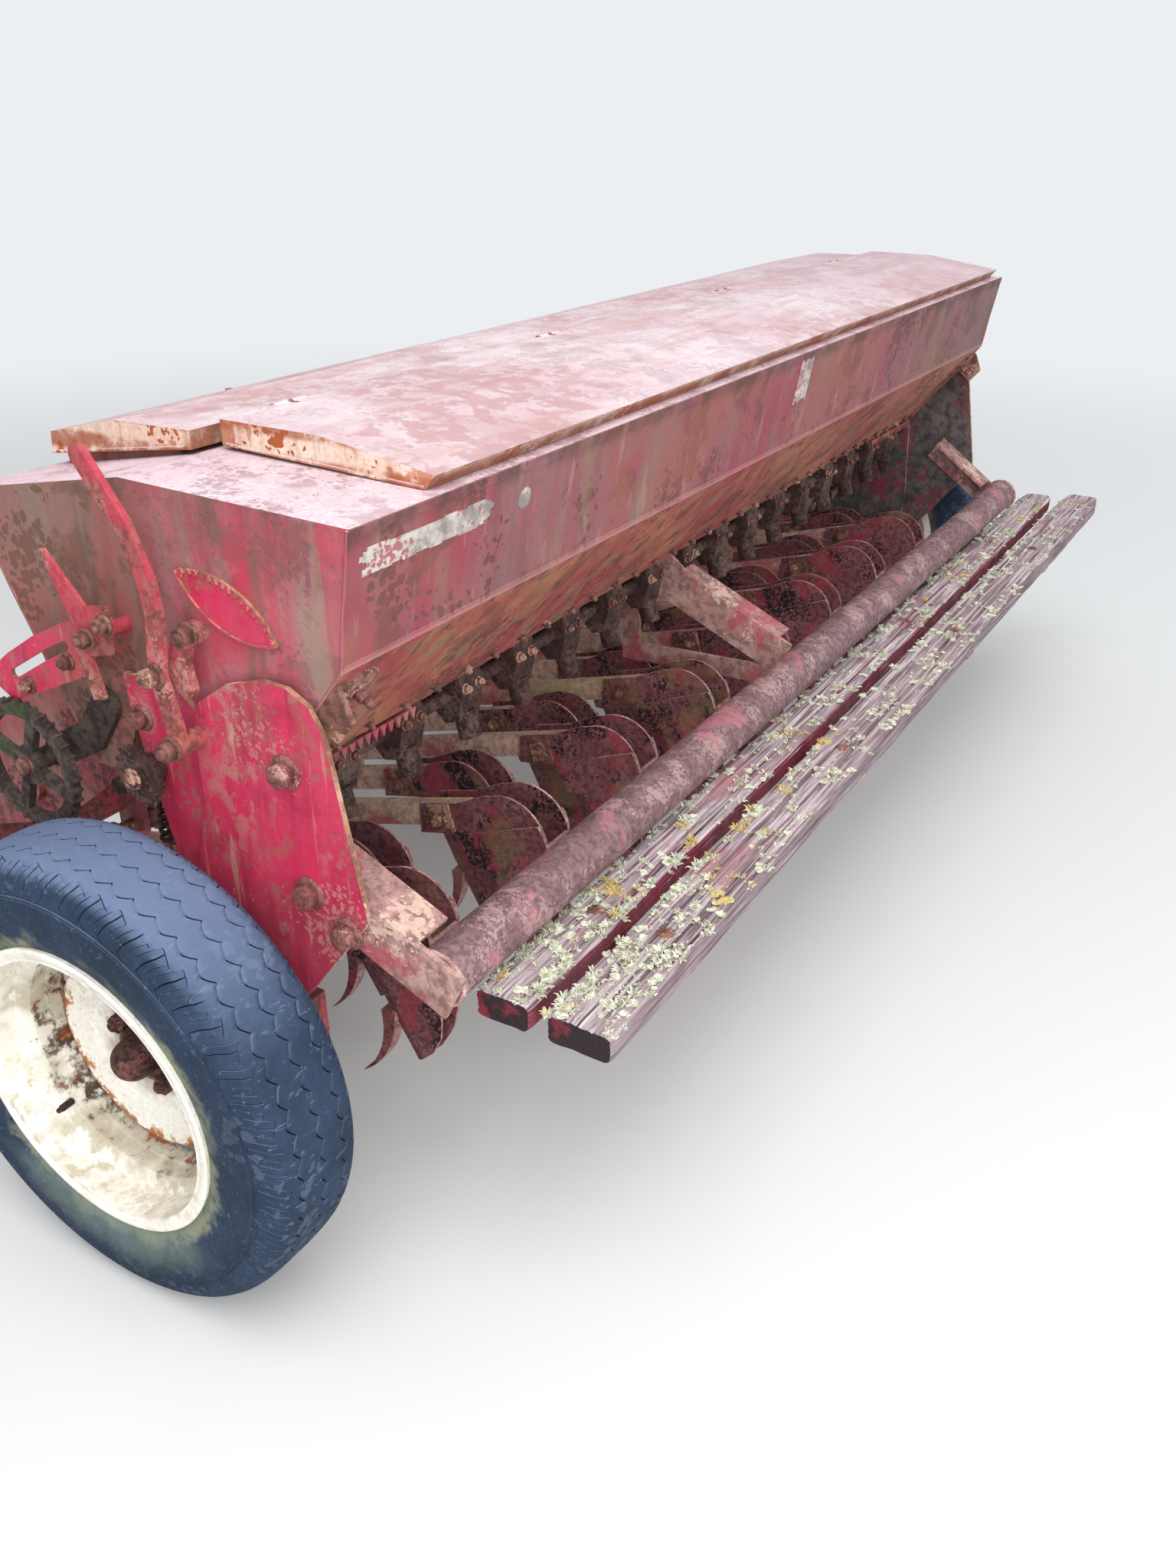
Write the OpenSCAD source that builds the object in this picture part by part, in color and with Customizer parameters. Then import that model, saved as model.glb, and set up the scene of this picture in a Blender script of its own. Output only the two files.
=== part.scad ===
// Trailed hoe-coulter seed drill with a grain box, a fertiliser box and a timber footboard.
// Every y is measured forward from the hopper's rear top edge, every z up from the ground.

/* [Hopper] */
// Length of the hopper, end to end
hopper_l = 2590; // [2560:10:2640]
// Height of the hopper's rear top edge
hopper_z = 1102; // [1090:2:1130]
// Thickness of the hopper's sheet
sheet = 3; // [2:0.5:4]
// Depth of the grain box, rear edge to divider
grain_d = 351; // [345:1:365]
// Depth of the fertiliser box, divider to front edge
fert_d = 304; // [290:1:320]
// Height of the grain box's rear panel
panel_h = 175; // [150:5:190]
// How far in the rear panel leans at its foot
panel_lean = 31; // [15:1:40]
// Height of the grain box's floor
grain_floor_z = 728; // [722:1:735]
// Distance of the grain box's floor from the rear edge
grain_floor_y = 195; // [190:1:200]
// Height of the fertiliser box's floor
fert_floor_z = 700; // [690:1:710]
// Distance of the fertiliser box's floor from the rear edge
fert_floor_y = 430; // [425:1:436]
// Width of both floors
floor_w = 60; // [50:1:66]
// Height at which the two boxes part
fork_z = 880; // [860:5:900]
// Rise of the top from the rear edge to the divider
ridge_rise = 10; // [6:1:14]
// Fall of the top from the divider to the front edge
front_fall = 54; // [45:1:60]

/* [Lids] */
// Fixed top sheet left of the grain lid
grain_lid_start = 165; // [140:5:200]
// Fixed top sheet left of the fertiliser lid
fert_lid_start = 130; // [110:5:180]
// Fixed top sheet right of both lids
lid_end = 30; // [20:1:45]
// Height of the grain lid above the divider
grain_lid_h = 38; // [34:1:44]
// Height of the fertiliser lid above the divider
fert_lid_h = 28; // [24:1:32]
// Diameter of the lid hinge pins
lid_pin_d = 8; // [6:1:9]
// Wall of the lid hinge sleeves
lid_sleeve_wall = 4; // [3:0.5:5]

/* [Seed runs] */
// Number of seed runs, an even number, less those that a shorter hopper has no room for
runs = 16; // [8:2:16]
// Spacing of the seed runs
run_pitch = 150; // [148:1:152]
// Diameter of the two feed shafts
feed_shaft_d = 25; // [20:1:28]
// Width of a grain feed unit
feed_w = 56; // [44:2:66]

/* [Coulters] */
// Diameter of the tubular coulter arms
arm_d = 46; // [42:1:48]
// Slope of the arms
arm_slope = 15.5; // [15:0.1:16]
// Distance of the arm pivot bar from the hopper's rear edge
pivot_y = 950; // [945:1:960]
// Height of the arm pivot bar
pivot_z = 272; // [268:1:276]
// Diameter of the arm pivot bar
pivot_d = 38; // [34:1:40]
// Where the arms of the rear row end
rear_arm_y = 205; // [200:1:215]
// Step between the rear row and the front row
row_step = 200; // [196:1:206]
// Thickness of the boot plates
boot_t = 4; // [3:0.5:5]
// Half width of a boot at its open back
boot_half_w = 34; // [32:1:37]
// Radius of the round head of a boot
boot_head_r = 75; // [70:1:78]
// Width of the hoe point
hoe_w = 22; // [18:1:26]

/* [Coulter lift] */
// Distance of the rockshaft from the hopper's rear edge
rock_y = 780; // [775:1:785]
// Height of the rockshaft
rock_z = 560; // [555:1:565]
// Diameter of the rockshaft
rock_d = 50; // [44:1:54]
// Diameter of the lift rods
rod_d = 12; // [10:1:13]
// Outer diameter of the pressure springs
spring_d = 36; // [32:1:40]
// Wire of the pressure springs
spring_wire = 7; // [6:0.5:8]
// Length of the lift lever on the rockshaft
lift_lever = 150; // [140:5:160]
// Outer diameter of the lift cylinder
cyl_d = 60; // [54:2:66]
// Diameter of the lift cylinder's rod
cyl_rod_d = 30; // [25:1:34]
// Diameter of the lift cylinder's pins
cyl_pin_d = 25; // [22:1:26]

/* [Frame] */
// Thickness of the end plates
plate_t = 8; // [6:1:10]
// Depth and height of the main beam
beam = 100; // [96:2:104]
// Width of the side beams
side_beam_w = 60; // [50:2:66]
// Thickness of the hopper posts
post_t = 10; // [8:1:12]

/* [Wheels] */
// Distance of the axle from the hopper's rear edge
axle_y = 342; // [336:1:348]
// Radius of the tyre
tyre_r = 345; // [340:1:350]
// Width of the tyre over its sidewalls
tyre_w = 167; // [160:1:174]
// Gap from the hopper's end to the tyre
tyre_gap = 68; // [64:1:74]
// Radius of the rim's flanges
rim_r = 218.5; // [214:0.5:222]
// Diameter of the axle stubs
axle_d = 45; // [40:1:48]

/* [Footboard] */
// Outer diameter of the step pipe
pipe_d = 76; // [70:1:80]
// Distance of the step pipe behind the hopper's rear edge
pipe_back = 79; // [76:1:82]
// Height of the step pipe
pipe_z = 545; // [541:1:549]
// Height of the footboard's top
plank_z = 500; // [497:1:503]
// Thickness of the planks
plank_t = 44; // [38:1:50]
// Length of the inner plank
plank_l = 2770; // [2600:10:2790]
// How far the outer plank runs past the inner one on the right
plank_extra = 50; // [0:5:80]
// Distance of the planks' left ends from the hopper's left end
plank_start = 60; // [50:5:100]

/* [Drawbar] */
// Distance of the hitch pin from the hopper's rear edge
hitch_y = 2010; // [1990:5:2030]
// Height of the drawbar's middle
drawbar_z = 380; // [374:1:386]
// Depth of the drawbar's rails
rail_h = 70; // [60:2:76]
// Diameter of the hitch pin hole
hitch_hole_d = 26; // [22:1:32]
// Distance of the jack from the hopper's rear edge
jack_y = 1600; // [1590:5:1620]
// Outer diameter of the jack's tube
jack_tube_d = 60; // [56:1:64]
// Diameter of the jack's leg
jack_leg_d = 50; // [44:1:50]

/* [Hidden] */
$fn = 64;

seat_gap = 0.3;
run_fit = 0.1;
hopper_half = hopper_l / 2;
hopper_d = grain_d + fert_d;
ridge_z = hopper_z + ridge_rise;
plank_back = 292;
clevis_r = 32;
front_reach = hitch_y + clevis_r;
wheel_reach = hopper_half + tyre_gap + tyre_w;
plank_reach = plank_start + plank_l + plank_extra - hopper_half;
x0 = (wheel_reach - max(wheel_reach, plank_reach)) / 2;
y0 = (plank_back - front_reach) / 2;
arm_reach = function(y) pivot_y - y;
arm_z = function(y) pivot_z + arm_reach(y) * tan(arm_slope);

// Places of the runs: the rear row and the front row alternate.
run_room = 60;
runs_too_many = ceil((runs * run_pitch + 2 * run_room - hopper_l) / (2 * run_pitch));
run_count = runs - 2 * max(0, runs_too_many);
run_x = function(i) (i - (run_count - 1) / 2) * run_pitch;
rear_runs = [for (i = [0:2:run_count - 1]) run_x(i)];
front_runs = [for (i = [1:2:run_count - 1]) run_x(i)];
all_runs = [for (i = [0:run_count - 1]) run_x(i)];

// Geometry helpers: a profile of [y, z] points pushed along x, and bars between two such points.
module at_drill() {
    translate([x0, y0, 0]) children();
}

module along_x(x_from, x_to) {
    translate([x_from, 0, 0]) rotate([90, 0, 90]) linear_extrude(x_to - x_from) children();
}

module both_ends() {
    children();
    mirror([1, 0, 0]) children();
}

module pin_x(p, x_from, x_to, d) {
    translate([x_from, p[0], p[1]]) rotate([0, 90, 0]) cylinder(h = x_to - x_from, d = d);
}

module strut(p, q, d) {
    v = q - p;
    translate(p) rotate([0, acos(v[2] / norm(v)), atan2(v[1], v[0])]) cylinder(h = norm(v), d = d);
}

module bar_2d(p, q, w) {
    n = [p[1] - q[1], q[0] - p[0]] / norm(q - p) * w / 2;
    polygon([p + n, q + n, q - n, p - n]);
}

// A flat bar bent through several points, with round joints.
module bent_bar_2d(pts, w) {
    for (i = [0:len(pts) - 2]) bar_2d(pts[i], pts[i + 1], w);
    for (p = pts) translate(p) circle(d = w);
}

module round_box_2d(low, high, r) {
    translate([low[0] + r, low[1]]) square([high[0] - low[0] - 2 * r, high[1] - low[1]]);
    translate([low[0], low[1] + r]) square([high[0] - low[0], high[1] - low[1] - 2 * r]);
    for (y = [low[0] + r, high[0] - r]) for (z = [low[1] + r, high[1] - r]) translate([y, z]) circle(r);
}

// The outline of a closed profile drawn anticlockwise, moved in by t all round.
function unit(v) = v / norm(v);
function inward(v) = [-v[1], v[0]];
function inset(p, t) = [for (i = [0:len(p) - 1])
    let (n = len(p), u = unit(p[i] - p[(i + n - 1) % n]), v = unit(p[(i + 1) % n] - p[i]))
    p[i] + t * (inward(u) + inward(v)) / (1 + inward(u) * inward(v))];

// Hopper profiles, anticlockwise from the rear top edge.
function top_z(y) = y < grain_d ? hopper_z + ridge_rise * y / grain_d
    : ridge_z - front_fall * (y - grain_d) / fert_d;
grain_profile = [[0, hopper_z], [panel_lean, hopper_z - panel_h], [grain_floor_y, grain_floor_z],
    [grain_floor_y + floor_w, grain_floor_z], [grain_d, fork_z], [grain_d, ridge_z]];
fert_profile = [[grain_d, ridge_z], [grain_d, fork_z], [fert_floor_y, fert_floor_z],
    [fert_floor_y + floor_w, fert_floor_z], [hopper_d, ridge_z - front_fall]];
function fert_wall_y(z) = let (a = fert_profile[3], b = fert_profile[4])
    a[0] + (b[0] - a[0]) * (z - a[1]) / (b[1] - a[1]);

// Lid profiles, anticlockwise from the foot of the rear flange.
lid_edge = 8;
hinge_clear = 6;
grain_lid_rear = 24;
grain_lid_fold = 181;
fert_lid_rear = grain_d + 11;
fert_lid_fold = fert_lid_rear + 137;
fert_lid_front = hopper_d - 23;
grain_lid_profile = [[grain_lid_rear, top_z(grain_lid_rear) + seat_gap],
    [grain_d - lid_edge, top_z(grain_d - lid_edge) + hinge_clear],
    [grain_d - lid_edge, ridge_z + grain_lid_h],
    [grain_lid_fold, ridge_z + grain_lid_h - 2], [lid_edge, hopper_z + 20]];
fert_lid_profile = [[fert_lid_rear, top_z(fert_lid_rear) + hinge_clear],
    [fert_lid_front, top_z(fert_lid_front) + 20],
    [fert_lid_front - 4, top_z(fert_lid_front) + 47], [fert_lid_fold, ridge_z + fert_lid_h - 2],
    [fert_lid_rear, ridge_z + fert_lid_h]];
grain_hinge = [grain_d - lid_edge + 2, ridge_z + grain_lid_h - 6];
fert_hinge = [fert_lid_rear + 2, ridge_z + fert_lid_h - 6];
hinge_end_x = hopper_half - 295;
grain_hinge_x = [-hinge_end_x, -350, 350, hinge_end_x];
fert_hinge_x = [for (x = grain_hinge_x) x + 100];
lid_sleeve_d = lid_pin_d + 2 * lid_sleeve_wall;
hinge_plate_t = 6;
hinge_sleeve_l = 26;

module box_shell(profile) {
    difference() {
        along_x(-hopper_half, hopper_half) polygon(profile);
        along_x(-hopper_half + sheet, hopper_half - sheet) polygon(inset(profile, sheet));
    }
}

// The upstand round a box's opening, on which its lid lies. On the hinge side it stands further in, clear of
// the lid's flange as the lid swings; y_in is its distance from the lid's rear and front edges.
rim_in = 14;
rim_in_grain = [rim_in, 46];
rim_in_fert = [34, rim_in];
module lid_rim(lid, lid_start, y_in) {
    q = inset(lid, sheet + seat_gap);
    x_low = -hopper_half + lid_start + rim_in;
    x_high = hopper_half - lid_end - rim_in;
    y_low = lid[0][0] + y_in[0];
    y_high = lid[1][0] - y_in[1];
    difference() {
        intersection() {
            along_x(x_low, x_high) polygon([[q[0][0], top_z(q[0][0]) - sheet + 1],
                [q[1][0], top_z(q[1][0]) - sheet + 1], q[2], q[3], q[4]]);
            translate([x_low, y_low, fork_z]) cube([x_high - x_low, y_high - y_low, ridge_z]);
        }
        translate([x_low + sheet, y_low + sheet, fork_z])
            cube([x_high - x_low - 2 * sheet, y_high - y_low - 2 * sheet, ridge_z]);
    }
}

module lid_opening(lid, lid_start, y_in) {
    x_in = rim_in + sheet;
    translate([-hopper_half + lid_start + x_in, lid[0][0] + y_in[0] + sheet, fork_z + 100])
        cube([hopper_l - lid_start - lid_end - 2 * x_in,
            lid[1][0] - lid[0][0] - y_in[0] - y_in[1] - 2 * sheet,
            ridge_z]);
}

module grain_box() {
    color([0.66, 0.2, 0.24]) at_drill() difference() {
        union() {
            box_shell(grain_profile);
            lid_rim(grain_lid_profile, grain_lid_start, rim_in_grain);
        }
        lid_opening(grain_lid_profile, grain_lid_start, rim_in_grain);
    }
}

module fertiliser_box() {
    color([0.55, 0.27, 0.24]) at_drill() difference() {
        union() {
            box_shell(fert_profile);
            lid_rim(fert_lid_profile, fert_lid_start, rim_in_fert);
        }
        lid_opening(fert_lid_profile, fert_lid_start, rim_in_fert);
    }
}

// A folded lid with its flanges, closed at both ends and open below.
module folded_lid(lid, lid_start) {
    x_low = -hopper_half + lid_start;
    x_high = hopper_half - lid_end;
    q = inset(lid, sheet);
    difference() {
        along_x(x_low, x_high) polygon(lid);
        along_x(x_low + sheet, x_high - sheet)
            polygon([[q[0][0], lid[0][1] - sheet], [q[1][0], lid[1][1] - sheet], q[2], q[3], q[4]]);
    }
}

// Cuts the lid clear of its hinge plates and adds a sleeve on each side of every plate.
module hinged_lid(lid, lid_start, hinge, stations) {
    gap = hinge_plate_t / 2 + 2;
    difference() {
        union() {
            folded_lid(lid, lid_start);
            for (x = stations) pin_x(hinge, x - gap - hinge_sleeve_l, x + gap + hinge_sleeve_l, lid_sleeve_d);
        }
        for (x = stations) {
            translate([x - gap, hinge[0] - lid_sleeve_d, hinge[1] - 60])
                cube([2 * gap, 2 * lid_sleeve_d, 90]);
            pin_x(hinge, x - gap - hinge_sleeve_l - 1, x + gap + hinge_sleeve_l + 1, lid_pin_d + 2 * run_fit);
        }
    }
}

module grain_lid() {
    color([0.78, 0.6, 0.58]) at_drill() hinged_lid(grain_lid_profile, grain_lid_start, grain_hinge,
        grain_hinge_x);
}

module fertiliser_lid() {
    color([0.78, 0.62, 0.58]) at_drill() hinged_lid(fert_lid_profile, fert_lid_start, fert_hinge,
        fert_hinge_x);
}

// Upright hinge plates with their pins, standing on the sloping box tops.
module hinge_plates(hinge, stations) {
    pin_l = hinge_plate_t / 2 + 2 + hinge_sleeve_l;
    foot_w = lid_sleeve_d - 6;
    low = hinge[0] - foot_w / 2 - 1;
    high = hinge[0] + foot_w / 2 + 1;
    for (x = stations) {
        along_x(x - hinge_plate_t / 2, x + hinge_plate_t / 2) difference() {
            union() {
                translate(hinge) circle(d = lid_sleeve_d - 2);
                bar_2d(hinge, [hinge[0], ridge_z - 20], foot_w);
            }
            polygon([[low, top_z(low)], [low, ridge_z - 40], [high, ridge_z - 40], [high, top_z(high)]]);
        }
        pin_x(hinge, x - pin_l, x + pin_l, lid_pin_d);
    }
}

module grain_lid_hinges() {
    color([0.4, 0.24, 0.2]) at_drill() hinge_plates(grain_hinge, grain_hinge_x);
}

module fertiliser_lid_hinges() {
    color([0.4, 0.24, 0.2]) at_drill() hinge_plates(fert_hinge, fert_hinge_x);
}

// Feed units below the floors, one at each run, with their shafts.
grain_shaft = [grain_floor_y + 30, grain_floor_z - 38];
fert_shaft = [fert_floor_y + 30, fert_floor_z - 32];
module grain_feeds() {
    color([0.28, 0.2, 0.19]) at_drill() for (x = all_runs) difference() {
        union() {
            along_x(x - feed_w / 2, x + feed_w / 2) translate([grain_floor_y, grain_floor_z])
                polygon([[2, 0], [-4, -30], [6, -78], [32, -84], [54, -62], [58, 0]]);
            strut([x, grain_floor_y + 16, grain_floor_z - 70], [x, grain_floor_y + 4, grain_floor_z - 112],
                36);
        }
        pin_x(grain_shaft, x - feed_w, x + feed_w, feed_shaft_d + 2 * run_fit);
    }
}

module fertiliser_feeds() {
    color([0.3, 0.22, 0.2]) at_drill() for (x = all_runs) difference() {
        union() {
            along_x(x - 24, x + 24) translate([fert_floor_y, fert_floor_z])
                polygon([[4, 0], [2, -40], [18, -58], [46, -58], [56, -30], [56, 0]]);
            strut([x, fert_floor_y + 28, fert_floor_z - 50], [x, fert_floor_y + 22, fert_floor_z - 84], 32);
        }
        pin_x(fert_shaft, x - feed_w, x + feed_w, feed_shaft_d + 2 * run_fit);
    }
}

// The two shafts run from end plate to end plate; the left ends carry a sprocket outside the plate.
module sprocket(p, x_from, w, r, teeth) {
    tooth = 2.2;
    along_x(x_from, x_from + w) translate(p) {
        circle(r);
        for (k = [0:teeth - 1]) rotate(360 * k / teeth) polygon([[r - 1, -tooth], [r + 5, -tooth / 3],
            [r + 5, tooth / 3], [r - 1, tooth]]);
    }
}

drive_shaft = [352, 734];
module feed_shafts() {
    left_end = -hopper_half;
    color([0.32, 0.24, 0.22]) at_drill() {
        for (p = [grain_shaft, fert_shaft]) pin_x(p, left_end + 2, hopper_half - 2, feed_shaft_d);
        pin_x(drive_shaft, left_end - 54, left_end + side_beam_w, feed_shaft_d);
        sprocket(drive_shaft, left_end - 46, 8, 38, 15);
        pin_x(drive_shaft, left_end - 38, left_end - 2 * plate_t - 2, 44);
    }
}

// Bolted angle plates that tie the grain funnel to the end plates.
funnel_dir = unit(grain_profile[2] - grain_profile[1]);
funnel_out = [funnel_dir[1], -funnel_dir[0]];
module funnel_brackets() {
    foot = grain_profile[1] + 20 * funnel_dir;
    color([0.45, 0.3, 0.22]) at_drill() both_ends() {
        along_x(-hopper_half, -hopper_half + 75) polygon([foot, foot + 60 * funnel_dir,
            foot + 60 * funnel_dir + 8 * funnel_out, foot + 8 * funnel_out]);
        along_x(-hopper_half, -hopper_half + 8)
            polygon([foot + 8 * funnel_out, foot + 60 * funnel_dir + 8 * funnel_out,
            foot + 60 * funnel_dir + 45 * funnel_out, foot + 20 * funnel_dir + 45 * funnel_out]);
    }
}

// End plates: a front plate against the hopper's end and a rear plate lapped over it, both on the side beam.
rear_plate = [[203, 884], [144, 902], [104, 901], [72, 884], [55, 852], [49, 826], [12, 615], [15, 600],
    [41, 565],
    [117, 466], [185, 385], [215, 330], [300, 320], [300, 600], [269, 700], [269, 791], [259, 846]];
front_plate = [[394, 856], [300, 860], [262, 820], [200, 700], [190, 500], [200, 395], [215, 300], [470, 300],
    [470, 395], [400, 470], [342, 560], [349, 617], [365, 685], [390, 808]];
module end_plates() {
    hole = axle_d + 2 * seat_gap;
    color([0.76, 0.16, 0.26]) at_drill() both_ends() difference() {
        union() {
            along_x(-hopper_half - plate_t, -hopper_half) polygon(front_plate);
            along_x(-hopper_half - 2 * plate_t, -hopper_half - plate_t) polygon(rear_plate);
        }
        pin_x([axle_y, tyre_r], -hopper_half - 50, -hopper_half + 1, hole);
        pin_x(drive_shaft, -hopper_half - 50, -hopper_half + 1, feed_shaft_d + 2 * seat_gap);
    }
}

// Main frame: a cross beam in front and a side beam inside each end plate.
beam_y = pivot_y - 20;
beam_top = drawbar_z + beam / 2;
side_top = tyre_r + beam / 2;
module frame() {
    color([0.6, 0.2, 0.22]) at_drill() difference() {
        union() {
            translate([-hopper_half, beam_y, beam_top - beam]) cube([hopper_l, beam, beam]);
            both_ends() translate([-hopper_half, axle_y - 170, side_top - beam])
                cube([side_beam_w, beam_y + beam - axle_y + 170, beam]);
            lugs();
        }
        pin_x([pivot_y, pivot_z], -hopper_half, hopper_half, pivot_d + 2 * run_fit);
        both_ends() pin_x(drive_shaft, -hopper_half - 1, -hopper_half + side_beam_w + 10, feed_shaft_d + 2);
    }
}

// Lugs under the cross beam that carry the arm pivot bar, one between every second pair of arms.
module lugs() {
    for (i = [0:2:run_count]) {
        x = (i - run_count / 2) * run_pitch;
        along_x(x - 6, x + 6) {
            translate([pivot_y, pivot_z]) circle(r = 34);
            translate([pivot_y - 34, pivot_z]) square([68, beam_top - beam - pivot_z + 5]);
        }
    }
}

module pivot_bar() {
    color([0.45, 0.3, 0.27]) at_drill() pin_x([pivot_y, pivot_z], -run_pitch * run_count / 2 - 20,
        run_pitch * run_count / 2 + 20, pivot_d);
}

module axle_stubs() {
    flange_x = -hopper_half - 2 * plate_t;
    color([0.4, 0.28, 0.25]) at_drill() both_ends() {
        pin_x([axle_y, tyre_r], flange_x - 90, -hopper_half, axle_d);
        pin_x([axle_y, tyre_r], flange_x - 12, flange_x, axle_d + 60);
    }
}

// Posts from the main beam up to the fertiliser box, which carry the rockshaft.
rock = [rock_y, rock_z];
post_end_x = hopper_half - 90;
post_mid_x = 4 * run_pitch;
post_x = [-post_end_x, -post_mid_x, post_mid_x, post_end_x];
module hopper_posts() {
    floor_y = fert_floor_y + floor_w;
    outline = [[beam_y + 5, beam_top], [beam_y + beam - 5, beam_top], [beam_y + beam - 5, beam_top + 45],
        [rock_y + 70, rock_z + 90], [rock_y - 180, 800], [fert_wall_y(820), 820], [floor_y, fert_floor_z],
        [fert_floor_y + 62, fert_floor_z], [fert_floor_y + 62, fert_floor_z - 30],
        [rock_y - 60, rock_z - 60]];
    color([0.6, 0.2, 0.22]) at_drill() for (x = post_x) difference() {
        union() {
            along_x(x - post_t / 2, x + post_t / 2) polygon(outline);
            pin_x(rock, x - 18, x + 18, rock_d + 26);
        }
        pin_x(rock, x - 30, x + 30, rock_d + 2 * run_fit);
    }
}

// Coulter arms: a tube from an eye on the pivot bar up to the boot, with a lug for the lift rod.
rod_foot_y = 580;
rod_foot = [rod_foot_y, arm_z(rod_foot_y) + 57];
lug_t = 8;
rod_pin_d = 12;
module arm(x, end_y) {
    difference() {
        union() {
            strut([x, pivot_y, pivot_z], [x, end_y, arm_z(end_y)], arm_d);
            pin_x([pivot_y, pivot_z], x - 32, x + 32, pivot_d + 18);
            along_x(x - lug_t / 2, x + lug_t / 2) {
                translate(rod_foot) circle(d = rod_pin_d + 18);
                polygon([rod_foot + [-15, 0], [rod_foot_y - 22, arm_z(rod_foot_y - 22)],
                    [rod_foot_y + 22, arm_z(rod_foot_y + 22)], rod_foot + [15, 0]]);
            }
        }
        pin_x([pivot_y, pivot_z], x - 40, x + 40, pivot_d + 2 * run_fit);
        pin_x(rod_foot, x - 10, x + 10, rod_pin_d + 2 * run_fit);
    }
}

module arms_rear() {
    color([0.66, 0.45, 0.4]) at_drill() for (x = rear_runs) arm(x, rear_arm_y);
}

module arms_front() {
    color([0.64, 0.44, 0.38]) at_drill() for (x = front_runs) arm(x, rear_arm_y + row_step);
}

// Boots: two cheeks that grip the arm, flare to an open back and close to a V above the hoe point.
// The side outline is drawn for the rear row; the front row is the same, a row step forward
// and down the slope.
head = [113, 467];
neck_front = 290;
module boot_side_2d() {
    neck = arm_d / 2 + 4;
    z_front = arm_z(neck_front);
    back = head[0] - boot_head_r;
    translate(head) circle(boot_head_r);
    polygon([[head[0] - 4, head[1] + boot_head_r], [160, 531], [215, arm_z(215) + neck],
        [neck_front, z_front + neck],
        [neck_front, z_front - neck], [nose[0], nose[1]], [150, 296], [138, 262], [146, 215], [100, 222],
        [64, 258],
        [44, 296], [back, 330], [back, head[1]]]);
}

// Plan of the right half of the neck and head: it grips the arm, then flares to the open back.
module boot_half_plan() {
    grip = arm_d / 2 + seat_gap;
    polygon([[grip, neck_front + 5], [grip + boot_t, neck_front + 5], [grip + boot_t, 170], [boot_half_w, 20],
        [boot_half_w - boot_t, 20], [grip, 170]]);
}

// Plan of the right half of the leg: a blunt nose, a short facet and the flared cheek.
module boot_leg_plan() {
    nose_half = hoe_w / 2 - 3;
    shoulder = boot_half_w - 7;
    polygon([[-40, nose[0]], [nose_half, nose[0]], [shoulder, nose[0] - 38], [boot_half_w + 1, 0],
        [boot_half_w + 1 - boot_t, 0], [shoulder - boot_t, nose[0] - 40], [nose_half - 2, nose[0] - 7],
        [-40, nose[0] - 7]]);
}

nose = [215, 446];
nose_lean = 22.5;
boot_taper = 4.5;
leg_l = 300;
module boot() {
    neck_low = 395;
    both_ends() {
        intersection() {
            along_x(0, 60) boot_side_2d();
            translate([0, 0, neck_low]) linear_extrude(200) boot_half_plan();
        }
        intersection() {
            along_x(-0.5, 60) boot_side_2d();
            translate([0, nose[0], nose[1]]) rotate([-nose_lean, boot_taper, 0])
                translate([0, -nose[0], -leg_l])
                linear_extrude(leg_l) boot_leg_plan();
        }
    }
    translate([-boot_half_w, head[0] - boot_head_r, head[1] - 14]) cube([2 * boot_half_w, boot_t, 24]);
    hoe_point();
}

// A sickle-shaped point, thick at the heel and drawn out forward.
module hoe_point() {
    along_x(-hoe_w / 2, hoe_w / 2) difference() {
        translate([300, 300]) circle(165);
        translate([308.4, 275.2]) circle(150.5);
        translate([0, 300]) square(600);
        translate([212, 0]) square([400, 600]);
    }
}

module boots_rear() {
    color([0.5, 0.25, 0.24]) at_drill() for (x = rear_runs) translate([x, 0, 0]) boot();
}

module boots_front() {
    drop = row_step * tan(arm_slope);
    color([0.5, 0.25, 0.24]) at_drill() for (x = front_runs) translate([x, row_step, -drop]) boot();
}

// Lift rods stand on the arm lugs and hang from the fingers of the rockshaft.
finger_tip = [560, 630];
rod_dir = unit(finger_tip - rod_foot);
finger_slack = 1.5;
rod_fork_l = 30;
spring_turns = 9;
turn_pitch = spring_wire * 2.025;
collar_s = rod_fork_l + 2 * seat_gap + spring_wire + turn_pitch * (spring_turns - 1);
module lift_rods() {
    eye_w = 14;
    fork_gap = lug_t / 2 + seat_gap;
    top = finger_tip - 10 * rod_dir;
    low = rod_foot + 24 * rod_dir;
    collar = rod_foot + collar_s * rod_dir;
    collar_top = collar + 6 * rod_dir;
    color([0.4, 0.28, 0.25]) at_drill() for (x = all_runs) {
        difference() {
            union() {
                strut([x, low[0], low[1]], [x, top[0], top[1]], rod_d);
                strut([x, collar[0], collar[1]], [x, collar_top[0], collar_top[1]], spring_d - 4);
                pin_x(finger_tip, x - eye_w / 2, x + eye_w / 2, rod_pin_d + 2 * finger_slack + 12);
                along_x(x - fork_gap - 5, x + fork_gap + 5)
                    bar_2d(rod_foot, rod_foot + rod_fork_l * rod_dir, 22);
                along_x(x - fork_gap - 5, x + fork_gap + 5) translate(rod_foot) circle(d = 22);
            }
            pin_x(finger_tip, x - eye_w, x + eye_w, rod_pin_d + 2 * finger_slack);
            along_x(x - fork_gap, x + fork_gap) bar_2d(rod_foot - 20 * rod_dir, rod_foot + 19 * rod_dir, 34);
        }
        pin_x(rod_foot, x - fork_gap - 5, x + fork_gap + 5, rod_pin_d);
    }
}

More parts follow.
